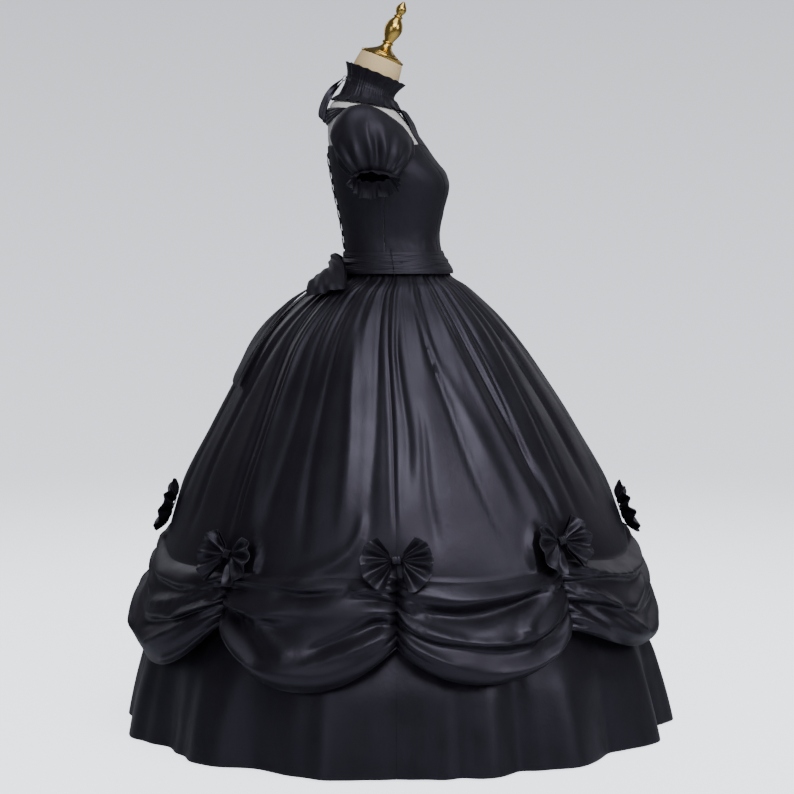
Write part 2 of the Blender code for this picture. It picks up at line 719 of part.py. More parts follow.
def fanned_bow(name, centre, along, up, out, material):
    """A pinched rectangle of doubled cloth: two pleated fans that meet in a narrow waist."""
    pleats = even(-1.0, 1.0, 9)
    columns = ((-BOW_RADIUS, 0.0060), (-0.0095, 0.0004), (0.0095, 0.0004), (BOW_RADIUS, 0.0060))
    grid = []
    for k, share in enumerate(pleats):
        line = []
        for reach, depth in columns:
            pinched = abs(reach) < 0.02
            turn = 0.0 if pinched else share * BOW_FAN_ANGLE
            side = math.copysign(1.0, reach)
            shorter = 1 - 0.10 * abs(share) ** 3
            x = reach if pinched else side * (0.004 + abs(reach) * math.cos(turn) * shorter)
            y = share * 0.0042 if pinched else abs(reach) * math.sin(turn) * shorter
            line.append(centre + along * x + up * y + out * (depth * (-1) ** k + BOW_FLARE * (reach / BOW_RADIUS) ** 2))
        grid.append(line)
    sheet(name, grid, FOLDED_CLOTH, material)


def build_skirt_bows(over, satin):
    """One bow at each pick-up, its knot against the overskirt and its foot tipped out over the gathers."""
    tip = math.radians(17)
    for index, pick_up in enumerate(PICK_UP_TABLE):
        angle = math.radians(pick_up.angle)
        seat = point_at_height(over, index * COLUMNS_PER_SWAG, pick_up.bow)
        outward = Vector((math.sin(angle), -math.cos(angle), 0.0))
        along = Vector((math.cos(angle), math.sin(angle), 0.0))
        rise = Vector((0.0, 0.0, 1.0))
        up = rise * math.cos(tip) - outward * math.sin(tip)
        out = outward * math.cos(tip) + rise * math.sin(tip)
        roll = math.radians(pick_up.roll)
        turned_along = along * math.cos(roll) + up * math.sin(roll)
        turned_up = up * math.cos(roll) - along * math.sin(roll)
        centre = seat + out * 0.0094
        fanned_bow(f"skirt_bow_{index + 1}", centre, turned_along, turned_up, out, satin)
        opening = (0.0085, 0.0068, 0.0050)
        knot_ring(f"skirt_bow_knot_{index + 1}", centre, turned_along, turned_up, out, opening, 0.0032, satin)


# The sash and its bow


def build_sash(satin):
    columns = 28
    outside, inside = [], []
    for row in SASH:
        angles = [2 * math.pi * j / columns for j in range(columns)]
        outside.append([on_form(a, row.height, row.lift + CLOTH) for a in angles])
        inside.append([on_form(a, row.height, row.lift) for a in angles])
    wall("sash", outside, inside, satin, closed=True)
    for side, suffix in ((-1, "right"), (1, "left")):
        outside, inside = [], []
        for height in (1.0340, *[row.height for row in SASH], 1.0980):
            lift = smooth(SASH, height, "lift") + CLOTH + 0.0008
            ends = [side * math.radians(92) + turn for turn in (-0.012, 0.012)]
            outside.append([on_form(a, height, lift + THIN_CLOTH) for a in ends])
            inside.append([on_form(a, height, lift) for a in ends])
        wall(f"sash_carrier_{suffix}", outside, inside, satin)


# A bow loop of the sash: how far out it is, half its width, and half its fullness
LoopStep = namedtuple("LoopStep", "share half_width fullness")
LOOP = [
    LoopStep(0.00, 0.014, 0.0020),
    LoopStep(0.20, 0.027, 0.0075),
    LoopStep(0.55, 0.041, 0.0125),
    LoopStep(0.90, 0.053, 0.0080),
    LoopStep(1.00, 0.054, 0.0020),
]


def build_sash_bow(over, satin):
    knot = on_form(math.pi, 1.064, 0.0262)
    back, rise = Vector((0.0, 1.0, 0.0)), Vector((0.0, 0.0, 1.0))
    knot_ring("sash_bow_knot", knot, Vector((1.0, 0.0, 0.0)), rise, back, (0.014, 0.0200, 0.0085), 0.0030, satin)
    for side, suffix in ((-1, "right"), (1, "left")):
        start = knot + Vector((side * 0.0150, 0.0, 0.0))
        end = Vector((side * 0.148, 0.182, 1.011))
        start_width = Vector((0.0, 0.10, 1.0)).normalized()
        end_width = Vector((side * -0.25, -0.95, 0.12)).normalized()
        steps = [(s, 1) for s in LOOP] + [(s, -1) for s in reversed(LOOP)]
        grid = []
        for step, layer in steps:
            centre = start.lerp(end, step.share) + rise * (0.012 * math.sin(math.pi * step.share))
            width = start_width.lerp(end_width, ease(step.share * 1.25)).normalized()
            normal = (end - start).cross(width).normalized() * side
            centre = centre + normal * (layer * step.fullness)
            grid.append([centre + width * (step.half_width * w) for w in (-1.0, -0.35, 0.35, 1.0)])
        if side < 0:
            grid = [list(reversed(row)) for row in grid]
        sheet(f"sash_bow_loop_{suffix}", grid, CLOTH, satin)
        build_sash_tail(f"sash_bow_tail_{suffix}", side, knot, satin)


def build_sash_tail(name, side, knot, satin):
    """A tail from under the knot, lying just off the skirt's long folds."""
    rows = []
    for share in even(0.0, 1.0, 7):
        height = mix(1.024, 0.800, share)
        centre = math.radians(mix(6.5, 16.5, share))
        half = mix(0.013, 0.046, ease(share * 1.6)) / skirt_point(math.pi, height).y
        line = []
        for across in even(-1.0, 1.0, 4):
            angle = math.pi - side * (centre + half * across)
            out = mix(0.014, 0.0185, ease(share * 4)) + 0.003 * math.sin(7 * share + 2 * across)
            line.append(skirt_point(angle, height - 0.012 * across * share, out))
        rows.append(line)
    rows.insert(0, [knot + Vector((side * (0.0065 + 0.004 * a), 0.001, -0.0232)) for a in even(-1.0, 1.0, 4)])
    grid = list(reversed(rows))
    if side > 0:
        grid = [list(reversed(row)) for row in grid]
    sheet(name, grid, CLOTH, satin)


# The dress form, finial and stand


def turned(name, profile, centre, axis, material, segments, end_point=None):
    """A solid of revolution about an axis: rings from a profile, closed at both ends."""
    across = Vector((1.0, 0.0, 0.0))
    third = axis.cross(across)
    vertices, faces = [], []
    for along, radius in profile:
        for k in range(segments):
            turn = 2 * math.pi * k / segments
            vertices.append(centre + axis * along + (across * math.cos(turn) + third * math.sin(turn)) * radius)
    for i in range(len(profile) - 1):
        for k in range(segments):
            low, high = i * segments, (i + 1) * segments
            faces.append((low + k, low + (k + 1) % segments, high + (k + 1) % segments, high + k))
    faces.append(tuple(range(segments)))
    last = (len(profile) - 1) * segments
    if end_point is None:
        faces.append(tuple(last + k for k in range(segments)))
    else:
        vertices.append(end_point)
        tip = len(vertices) - 1
        faces.extend((last + k, last + (k + 1) % segments, tip) for k in range(segments))
    return finish(name, vertices, faces, material)


def form_solid(name, levels, material):
    """A solid of the form's own shape between two of its levels."""
    columns = 28
    vertices, faces = [], []
    for level in levels:
        inset = FORM_INSET if level < PRINCESS_NECKLINE else 0.2 * FORM_INSET
        vertices.extend(on_form(2 * math.pi * j / columns, level, -inset) for j in range(columns))
    for i in range(len(levels) - 1):
        for j in range(columns):
            low, high = i * columns, (i + 1) * columns
            faces.append((low + j, low + (j + 1) % columns, high + (j + 1) % columns, high + j))
    faces.append(tuple(range(columns)))
    faces.append(tuple((len(levels) - 1) * columns + j for j in range(columns)))
    finish(name, vertices, faces, material)


def build_form(jersey, linen, brass, steel):
    hips = (FORM_BOTTOM, 0.860, 0.930, 0.985)
    chest = (1.292, 1.312, 1.335)
    shoulders = [section.level for section in FORM[12:18]]
    form_solid("form_torso", [*hips, *TORSO_ROWS, *chest, *shoulders, NECK_SEAM - SEAM_GAP], jersey)
    form_solid("form_neck", [NECK_SEAM, *[section.level for section in FORM[18:]]], linen)

    axis = Vector((0.0, -math.sin(NECK_TILT), math.cos(NECK_TILT)))
    turned("form_finial", FINIAL, CAP_CENTRE, axis, brass, 16, CAP_CENTRE + axis * FINIAL_TIP)
    up = Vector((0.0, 0.0, 1.0))
    pole = [(BASE_HEIGHT + SEAM_GAP, POLE_RADIUS), (FORM_BOTTOM - SEAM_GAP, POLE_RADIUS)]
    turned("stand_pole", pole, Vector((0.0, 0.0, 0.0)), up, steel, 16)
    base = [(0.0, BASE_RADIUS), (0.008, BASE_RADIUS), (BASE_HEIGHT, BASE_RADIUS - 0.012)]
    turned("stand_base", base, Vector((0.0, 0.0, 0.0)), up, steel, 28)


# Materials and assembly


def plain_material(name, colour, roughness, metallic=0.0):
    material = bpy.data.materials.new(name)
    material.use_nodes = True
    shader = material.node_tree.nodes["Principled BSDF"]
    shader.inputs["Base Color"].default_value = (*colour, 1.0)
    shader.inputs["Roughness"].default_value = roughness
    shader.inputs["Metallic"].default_value = metallic
    return material


def main():
    for old in list(bpy.data.objects):
        bpy.data.objects.remove(old)
    satin = plain_material("black_satin", (0.018, 0.018, 0.022), 0.34)
    jersey = plain_material("form_jersey", (0.83, 0.82, 0.80), 0.80)
    linen = plain_material("form_linen", (0.76, 0.58, 0.42), 0.85)
    brass = plain_material("gold_finial", (0.80, 0.58, 0.16), 0.18, 1.0)
    steel = plain_material("stand_steel", (0.08, 0.08, 0.09), 0.35, 0.8)
    build_form(jersey, linen, brass, steel)
    build_bodice(satin)
    build_lacing(satin)
    build_yoke(satin)
    build_back_band(satin)
    build_collar(satin)
    build_collar_ties(satin)
    build_sleeves(satin)
    over = build_skirts(satin)
    build_skirt_bows(over, satin)
    build_sash(satin)
    build_sash_bow(over, satin)


main()
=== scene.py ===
"""The looks of a satin ball gown on a limbless dress form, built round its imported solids.

Metres, +Z up, the gown's front faces -Y. Angles round the body start at the centre front and run to the
wearer's left. Grids of cloth have rows that run up and columns that run to the wearer's left.
"""

import math
from collections import namedtuple

import bpy
import numpy as np
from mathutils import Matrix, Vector


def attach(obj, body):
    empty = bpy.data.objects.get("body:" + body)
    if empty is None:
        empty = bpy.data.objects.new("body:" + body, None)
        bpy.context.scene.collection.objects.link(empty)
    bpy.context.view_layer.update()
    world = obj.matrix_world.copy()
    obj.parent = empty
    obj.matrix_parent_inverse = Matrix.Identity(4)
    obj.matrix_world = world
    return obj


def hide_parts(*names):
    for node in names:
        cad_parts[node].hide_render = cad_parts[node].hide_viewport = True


bl_info = {
    "name": "Satin ball gown",
    "version": (1, 0, 0),
    "blender": (4, 5, 0),
    "location": "3D View > Sidebar > Gown",
    "description": "Makes the cloth, trimmings, dress form and studio of a satin ball gown",
    "category": "Add Mesh",
}

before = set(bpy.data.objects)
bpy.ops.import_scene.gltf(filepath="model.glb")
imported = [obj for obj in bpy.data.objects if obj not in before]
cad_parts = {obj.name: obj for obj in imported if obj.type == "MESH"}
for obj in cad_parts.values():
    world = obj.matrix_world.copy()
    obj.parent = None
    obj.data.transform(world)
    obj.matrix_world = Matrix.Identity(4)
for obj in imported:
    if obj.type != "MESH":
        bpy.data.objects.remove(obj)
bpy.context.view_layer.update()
FULL_TURN = 2 * math.pi
SOFT_EDGE = math.radians(55)
TURNED_EDGE = math.radians(35)

# Cloth and seams, as in the solids
CLOTH = 0.0015
THIN_CLOTH = 0.0010
BODICE_DULLER = 0.13
SEAM_GAP = 0.0004
SEAM_ALLOWANCE = 0.005
FORM_CLEARANCE = 0.0010
FORM_INSET = 0.0009
HEM_HEIGHT = 0.004
WAIST_SEAM = 1.050
BACK_NECKLINE = 1.333
SIDE_NECKLINE = 1.302
FRONT_NECKLINE = 1.318
PRINCESS_NECKLINE = 1.335
SIDE_SEAM = math.radians(95)
BACK_REACH = 0.135
SEAM_TURN = SEAM_GAP / 2 / 0.12

# Skirts
PICK_UPS = 8
WAIST_GATHERS = 32
LONG_FOLDS = 16
HEM_FLUTES = 14
HEM_FLUTE_DEPTH = 0.015
UNDERSKIRT_INSET = 0.020
GATHER_WIDTH = 0.18
PICK_UP_REACH = 0.56
SKIRT_COLUMNS = 480
UPPER_ROW_COUNT = 66
SWAG_ROW_COUNT = 92

# Yoke and back band: half angles, and the band's edges at its ends and in its middle
YOKE_HALF_ANGLES = (33.5, 31)
BAND_HALF_ANGLE = math.radians(66)
BAND_FOOT = (1.4040, 1.3740)
BAND_TOP = (1.4080, 1.4070)

# Collar, sleeves and bows
COLLAR_RUFFLES = 18
SLEEVE_GATHERS = 12
CUFF_CENTRE = (-0.213, 0.055, 1.268)
CUFF_DRAWN = (0.027, 0.043)
ARMHOLE_LEVEL = 1.352
ARMHOLE_RISE = 0.061
ARMHOLE_TURN = math.radians(43)
PUFF_TOP = 0.046
PUFF_SIDE = 0.024
CUFF_SHIFT = 0.012
FRILL_FLARE = 0.015
FRILL_LENGTH = 0.030
BOW_RADIUS = 0.075
BOW_FLARE = 0.017
BOW_FAN_ANGLE = math.radians(62)
BOW_DROOP = math.radians(10)
LACING_REACH = 0.034
LACING_WIDTH = 0.008
LACING_TIP = 0.0025
LACING_ROWS = 8
LACING_SPAN = (1.104, 1.312)
STITCH_SPACING = 0.0042
STITCH_LENGTH = 0.0030
STITCH_WIDTH = 0.00064
STITCH_HEIGHT = 0.00030
THREAD_STAND = 0.0003
NECKLINE_STITCHES = ((-94, -37.5), (-36.5, 36.5), (37.5, 94), (96, 164), (-164, -96))
COLLAR_RIBBON = 0.0102
CASING_LEVEL = 1.465
CASING_HALF = 0.0048
COLLAR_FOOT = 1.4225
COLLAR_TOP = 1.4990

# Knots: half their width, height and depth
Size = namedtuple("Size", "half_width half_up half_out")
COLLAR_KNOT = Size(0.007, 0.0064, 0.0038)
BOW_KNOT = Size(0.0085, 0.0100, 0.0082)
SASH_KNOT = Size(0.014, 0.0230, 0.0115)

# Sash bow, on the wearer's left: a loop's far end and the direction of its width there, and a tail's heights,
# turns from the centre back in degrees, and half widths
SASH_LOOP_END = (0.150, 0.163, 1.003)
SASH_LOOP_WIDTH = (0.28, -0.92, 0.20)
SASH_TAIL_HEIGHTS = (1.024, 0.800)
SASH_TAIL_TURNS = (6.5, 16.5)
SASH_TAIL_HALVES = (0.013, 0.046)

# Thread carriers of the sash
CARRIER_SPAN = (1.0335, 1.0985)
CARRIER_TURN = math.radians(92)

# Dress form and its stand
NECK_TILT = math.radians(22)
NECK_SEAM = 1.452
FORM_BOTTOM = 0.80
POLE_RADIUS = 0.0125
BASE_RADIUS = 0.170
BASE_HEIGHT = 0.014
FORM_SEAM = math.radians(94)
CAP_HEIGHT = 1.535
CAP_CENTRE = (0.0, 0.036, CAP_HEIGHT)


def table(kind, *rows):
    """Rows of one kind, with its named columns."""
    return [kind(*row) for row in rows]


Section = namedtuple("Section", "level front_y front_z back_y back_z half_width squareness")
FORM = table(
    Section,
    (0.800, -0.095, 0.800, 0.120, 0.800, 0.150, 2.3),
    (0.860, -0.108, 0.860, 0.134, 0.860, 0.164, 2.3),
    (0.930, -0.112, 0.930, 0.135, 0.930, 0.162, 2.3),
    (0.985, -0.112, 0.985, 0.127, 0.985, 0.151, 2.3),
    (1.042, -0.112, 1.042, 0.118, 1.042, 0.132, 2.3),
    (1.090, -0.100, 1.090, 0.120, 1.090, 0.123, 2.3),
    (1.130, -0.095, 1.130, 0.124, 1.130, 0.120, 2.3),
    (1.180, -0.103, 1.180, 0.133, 1.180, 0.128, 2.3),
    (1.240, -0.116, 1.240, 0.146, 1.240, 0.143, 2.3),
    (1.270, -0.109, 1.270, 0.151, 1.270, 0.148, 2.3),
    (1.300, -0.086, 1.300, 0.156, 1.300, 0.151, 2.3),
    (1.330, -0.066, 1.330, 0.159, 1.330, 0.157, 2.3),
    (1.359, -0.049, 1.353, 0.1605, 1.365, 0.166, 2.3),
    (1.3865, -0.032, 1.378, 0.160, 1.395, 0.168, 2.3),
    (1.404, -0.018, 1.393, 0.158, 1.415, 0.156, 2.25),
    (1.4175, -0.008, 1.405, 0.153, 1.430, 0.124, 2.2),
    (1.4275, -0.001, 1.415, 0.143, 1.440, 0.092, 2.1),
    (1.439, 0.004, 1.428, 0.130, 1.450, 0.072, 2.0),
    (1.465, 0.0105, 1.4438, 0.1155, 1.4862, 0.0573, 2.0),
    (1.5025, -0.0028, 1.4815, 0.1010, 1.5235, 0.0560, 2.0),
    (1.535, -0.0110, 1.5160, 0.0830, 1.5540, 0.0507, 2.0),
)
BUST_RISE = 0.005
BUST_LEVEL = 1.243
BUST_ANGLE = math.radians(34)

Outline = namedtuple("Outline", "height front back side")
SKIRT = table(
    Outline,
    (0.000, 0.626, 0.630, 0.628),
    (0.107, 0.603, 0.609, 0.606),
    (0.280, 0.563, 0.566, 0.565),
    (0.420, 0.528, 0.532, 0.530),
    (0.500, 0.504, 0.510, 0.507),
    (0.609, 0.455, 0.469, 0.462),
    (0.721, 0.392, 0.413, 0.403),
    (0.833, 0.317, 0.352, 0.335),
    (0.888, 0.276, 0.317, 0.297),
    (0.944, 0.229, 0.268, 0.250),
    (1.000, 0.171, 0.200, 0.188),
    (1.028, 0.138, 0.149, 0.160),
    (1.050, 0.119, 0.127, 0.141),
)

# Where the overskirt is picked up: heights of the bow, and of the top and foot of the ruching under it
PickUp = namedtuple("PickUp", "angle bow gather_top gather_foot roll")
PICK_UP_TABLE = table(
    PickUp,
    (0, 0.500, 0.468, 0.335, 3),
    (48, 0.470, 0.434, 0.285, -9),
    (90, 0.452, 0.420, 0.275, 2),
    (132, 0.443, 0.406, 0.300, 7),
    (180, 0.505, 0.470, 0.340, -4),
    (228, 0.443, 0.406, 0.300, -7),
    (270, 0.452, 0.420, 0.275, 0),
    (311.5, 0.472, 0.434, 0.285, 9),
)

# Each swag: the heights of its top and its lower edge, how far across it hangs lowest, and where its folds
# are, as shares of the way down: a crest, a valley, a second crest, a hollow and the roll above the edge
Swag = namedtuple("Swag", "top edge low crest valley second hollow roll")
SWAG_TABLE = table(
    Swag,
    (0.410, 0.215, 0.52, 0.10, 0.29, 0.47, 0.64, 0.84),
    (0.408, 0.190, 0.53, 0.11, 0.33, 0.55, 0.69, 0.84),
    (0.415, 0.175, 0.47, 0.08, 0.19, 0.31, 0.54, 0.80),
    (0.405, 0.182, 0.45, 0.12, 0.27, 0.41, 0.59, 0.81),
    (0.405, 0.180, 0.57, 0.13, 0.29, 0.42, 0.60, 0.80),
    (0.415, 0.175, 0.52, 0.07, 0.17, 0.28, 0.53, 0.80),
    (0.405, 0.192, 0.46, 0.10, 0.33, 0.56, 0.70, 0.84),
    (0.410, 0.213, 0.55, 0.11, 0.28, 0.45, 0.62, 0.83),
)

# How far out those lines stand, in the middle of a swag and at a pick-up, and how far a crest sags
SwagLine = namedtuple("SwagLine", "middle_out gather_out sag")
SWAG_LINES = table(
    SwagLine,
    (0.010, 0.004, 0.000),
    (0.034, 0.010, 0.004),
    (0.025, 0.003, -0.006),
    (0.046, 0.012, 0.005),
    (0.036, 0.003, -0.007),
    (0.055, 0.011, 0.002),
    (0.020, 0.006, -0.004),
)

# Folds that cross the swags, each through three points in degrees and metres, as they fall in the photograph
Crossing = namedtuple("Crossing", "start start_height middle middle_height end end_height depth width")
CROSSING_FOLDS = table(
    Crossing,
    (244.0, 0.402, 253.5, 0.432, 259.5, 0.472, 0.009, 0.013),
    (258.0, 0.462, 261.0, 0.500, 261.8, 0.556, 0.006, 0.011),
    (241.0, 0.372, 252.0, 0.378, 263.5, 0.402, -0.011, 0.012),
    (237.0, 0.345, 243.5, 0.285, 250.0, 0.256, 0.011, 0.012),
    (230.5, 0.345, 237.5, 0.280, 244.5, 0.230, -0.013, 0.012),
    (250.0, 0.258, 260.0, 0.297, 268.5, 0.340, -0.014, 0.013),
    (249.0, 0.235, 261.5, 0.277, 269.0, 0.317, 0.007, 0.009),
    (229.0, 0.322, 235.0, 0.268, 242.0, 0.226, 0.009, 0.009),
    (272.0, 0.362, 289.0, 0.335, 307.0, 0.394, -0.012, 0.015),
    (271.0, 0.343, 284.0, 0.292, 297.0, 0.288, 0.010, 0.010),
    (296.5, 0.290, 300.0, 0.338, 311.0, 0.388, 0.013, 0.012),
    (284.0, 0.304, 291.0, 0.317, 297.0, 0.340, 0.005, 0.009),
    (271.0, 0.320, 275.0, 0.275, 283.0, 0.240, 0.007, 0.009),
    (298.0, 0.262, 304.5, 0.305, 311.0, 0.360, -0.008, 0.008),
    (301.0, 0.244, 307.0, 0.288, 311.5, 0.334, 0.008, 0.009),
    (314.0, 0.425, 326.0, 0.392, 344.0, 0.365, 0.011, 0.010),
    (313.0, 0.382, 324.0, 0.325, 334.0, 0.238, 0.016, 0.010),
    (313.5, 0.350, 319.5, 0.292, 327.0, 0.234, -0.012, 0.012),
    (328.0, 0.298, 338.0, 0.333, 351.0, 0.372, 0.011, 0.013),
    (333.0, 0.262, 343.0, 0.292, 356.0, 0.345, -0.009, 0.013),
    (307.5, 0.515, 303.0, 0.470, 304.5, 0.402, 0.013, 0.008),
    (309.5, 0.500, 306.8, 0.462, 307.5, 0.418, -0.009, 0.008),
    (232.0, 0.492, 236.0, 0.448, 234.5, 0.398, 0.010, 0.008),
    (197.0, 0.306, 214.0, 0.338, 227.5, 0.390, 0.011, 0.012),
    (203.0, 0.210, 217.0, 0.278, 227.0, 0.345, 0.013, 0.013),
    (210.0, 0.196, 220.5, 0.232, 227.5, 0.312, 0.009, 0.010),
    (200.0, 0.255, 213.0, 0.300, 225.0, 0.362, -0.011, 0.012),
    (182.0, 0.440, 190.0, 0.372, 203.0, 0.320, 0.010, 0.012),
    (181.0, 0.372, 189.0, 0.290, 199.0, 0.236, 0.012, 0.012),
    (183.0, 0.345, 190.0, 0.262, 200.0, 0.205, -0.010, 0.011),
)

# Long folds of the smooth part, in degrees and metres, as they fall in the photograph; a trough is negative
LongFold = namedtuple("LongFold", "top_angle top_height foot_angle foot_height depth width")
LONG_FOLD_TABLE = table(
    LongFold,
    (305.0, 1.000, 314.0, 0.480, -0.009, 0.012),
    (299.0, 0.960, 308.0, 0.500, 0.006, 0.018),
    (284.0, 0.960, 297.0, 0.480, -0.006, 0.010),
    (288.0, 0.900, 302.0, 0.520, 0.004, 0.022),
    (274.5, 0.900, 273.5, 0.600, -0.005, 0.011),
    (278.6, 0.720, 280.0, 0.430, -0.006, 0.014),
    (264.0, 0.980, 264.5, 0.480, -0.004, 0.014),
    (256.0, 0.940, 257.0, 0.500, 0.007, 0.016),
    (247.0, 0.920, 247.0, 0.450, -0.006, 0.012),
    (238.0, 0.980, 236.5, 0.500, -0.004, 0.012),
    (219.0, 0.980, 225.5, 0.440, -0.012, 0.016),
    (228.5, 0.900, 232.0, 0.480, 0.005, 0.018),
    (209.0, 0.900, 207.0, 0.450, -0.008, 0.014),
    (200.0, 0.940, 197.0, 0.520, 0.006, 0.020),
    (188.0, 0.900, 190.5, 0.480, -0.007, 0.014),
    (322.0, 0.900, 323.0, 0.520, -0.007, 0.014),
    (333.0, 0.960, 336.0, 0.560, -0.008, 0.013),
    (345.0, 0.940, 349.0, 0.500, 0.006, 0.018),
    (355.0, 0.980, 354.0, 0.540, -0.006, 0.012),
    (53.0, 1.000, 46.5, 0.480, -0.011, 0.015),
    (61.0, 0.940, 53.0, 0.520, 0.006, 0.018),
    (76.0, 0.950, 65.0, 0.500, -0.006, 0.012),
    (84.5, 0.880, 86.0, 0.580, -0.005, 0.012),
    (97.0, 0.960, 98.5, 0.500, 0.006, 0.016),
    (111.0, 0.930, 110.0, 0.460, -0.007, 0.013),
    (122.0, 0.960, 124.0, 0.520, -0.004, 0.012),
    (141.0, 0.980, 135.5, 0.440, -0.011, 0.016),
    (151.0, 0.880, 154.0, 0.460, -0.007, 0.014),
    (163.0, 0.950, 166.0, 0.520, 0.006, 0.020),
    (171.5, 0.900, 169.0, 0.500, -0.006, 0.013),
    (37.0, 0.900, 35.0, 0.520, -0.007, 0.014),
    (24.0, 0.960, 21.0, 0.540, -0.008, 0.013),
    (12.0, 0.940, 9.0, 0.520, 0.006, 0.018),
)

# Flutes of the underskirt's hem that stand out from the even ones: in degrees
HemFlute = namedtuple("HemFlute", "angle width depth")
HEM_FLUTE_TABLE = table(
    HemFlute,
    (232, 4.0, 0.010),
    (241, 3.0, -0.008),
    (257, 2.5, 0.007),
    (283, 2.2, -0.012),
    (289, 3.0, 0.012),
    (296, 2.4, -0.010),
    (309, 4.0, 0.008),
    (321, 2.6, -0.009),
    (335, 4.0, 0.010),
    (212, 3.5, -0.010),
    (199, 4.0, 0.009),
    (10, 3.0, -0.009),
    (27, 4.0, 0.010),
    (58, 2.6, -0.010),
    (72, 3.5, 0.010),
    (101, 2.8, -0.009),
    (128, 4.0, 0.010),
    (149, 3.0, -0.009),
    (171, 4.0, 0.009),
    (184, 2.6, -0.009),
    (191, 3.0, 0.010),
    (205, 2.4, -0.008),
    (222, 2.6, -0.009),
    (347, 2.8, -0.010),
    (355, 3.4, 0.009),
)

CollarRow = namedtuple("CollarRow", "level lift ruffle")
COLLAR = table(
    CollarRow,
    (1.4225, 0.0050, 0.0016),
    (1.4420, 0.0034, 0.0010),
    (1.4650, 0.0009, 0.0003),
    (1.4830, 0.0058, 0.0008),
    (1.4990, 0.0152, 0.0014),
)

SashRow = namedtuple("SashRow", "height lift")
SASH = table(
    SashRow,
    (1.0400, 0.0156),
    (1.0500, 0.0146),
    (1.0580, 0.0102),
    (1.0680, 0.0090),
    (1.0760, 0.0058),
    (1.0920, 0.0042),
)

LoopStep = namedtuple("LoopStep", "share half_width fullness")
LOOP = table(
    LoopStep,
    (0.00, 0.014, 0.0020),
    (0.20, 0.027, 0.0075),
    (0.55, 0.041, 0.0125),
    (0.90, 0.046, 0.0080),
    (1.00, 0.046, 0.0020),
)

# The collar ribbon's line on the wearer's left: a loop out and back, and a tail; its width is a share
RibbonStop = namedtuple("RibbonStop", "at x y z width")
RIBBON_LOOP = table(
    RibbonStop,
    (0, 0.0096, 0.1260, 1.4880, 0.5),
    (1, 0.0150, 0.1420, 1.4740, 0.9),
    (2, 0.0240, 0.1600, 1.4520, 1.0),
    (3, 0.0350, 0.1720, 1.4260, 1.0),
    (4, 0.0430, 0.1765, 1.4060, 1.0),
    (5, 0.0450, 0.1750, 1.3965, 1.0),
    (6, 0.0420, 0.1705, 1.3975, 1.0),
    (7, 0.0340, 0.1688, 1.4150, 1.0),
    (8, 0.0230, 0.1610, 1.4380, 1.0),
    (9, 0.0140, 0.1440, 1.4610, 0.9),
    (10, 0.0105, 0.1310, 1.4765, 0.5),
)
RIBBON_TAIL = table(
    RibbonStop,
    (0, 0.0030, 0.1254, 1.4822, 0.5),
    (1, 0.0050, 0.1500, 1.4560, 0.9),
    (2, 0.0070, 0.1620, 1.4400, 1.0),
    (3, 0.0085, 0.1665, 1.4200, 1.0),
    (4, 0.0100, 0.1680, 1.3870, 1.0),
)

# Deep creases of a sleeve: the turn from its top to the front, how deep and wide, and how near to the cuff
SleeveCrease = namedtuple("SleeveCrease", "turn depth width stage reach")
SLEEVE_CREASES = table(
    SleeveCrease,
    (0.14, -0.011, 0.10, 0.76, 0.17),
    (0.60, -0.009, 0.12, 0.80, 0.15),
    (1.15, -0.007, 0.14, 0.78, 0.20),
    (-0.30, -0.005, 0.13, 0.84, 0.14),
    (-0.78, -0.007, 0.15, 0.80, 0.18),
    (-1.40, -0.006, 0.16, 0.72, 0.24),
    (0.36, 0.006, 0.15, 0.72, 0.16),
    (-0.08, 0.004, 0.16, 0.74, 0.16),
    (0.86, 0.004, 0.17, 0.58, 0.24),
    (-1.08, 0.004, 0.17, 0.52, 0.26),
    (1.70, -0.006, 0.16, 0.56, 0.30),
)

Turn = namedtuple("Turn", "along radius")
FINIAL = table(
    Turn,
    (0.0006, 0.0505),
    (0.0016, 0.0512),
    (0.0044, 0.0512),
    (0.0054, 0.0500),
    (0.0060, 0.0462),
    (0.0066, 0.0448),
    (0.0084, 0.0440),
    (0.0092, 0.0424),
    (0.0100, 0.0372),
    (0.0106, 0.0362),
    (0.0122, 0.0352),
    (0.0130, 0.0330),
    (0.0150, 0.0288),
    (0.0200, 0.0205),
    (0.0250, 0.0148),
    (0.0300, 0.0120),
    (0.0340, 0.0106),
    (0.0352, 0.0128),
    (0.0370, 0.0138),
    (0.0388, 0.0128),
    (0.0400, 0.0108),
    (0.0450, 0.0122),
    (0.0520, 0.0155),
    (0.0600, 0.0188),
    (0.0680, 0.0205),
    (0.0740, 0.0206),
    (0.0810, 0.0190),
    (0.0880, 0.0158),
    (0.0940, 0.0112),
    (0.0980, 0.0086),
    (0.0992, 0.0106),
    (0.1008, 0.0112),
    (0.1024, 0.0104),
    (0.1036, 0.0076),
    (0.1066, 0.0074),
    (0.1104, 0.0098),
    (0.1142, 0.0117),
    (0.1180, 0.0125),
    (0.1218, 0.0121),
    (0.1256, 0.0103),
    (0.1294, 0.0076),
    (0.1328, 0.0054),
    (0.1356, 0.0036),
    (0.1370, 0.0020),
    (0.1375, 0.0006),
)


# Curves and small helpers


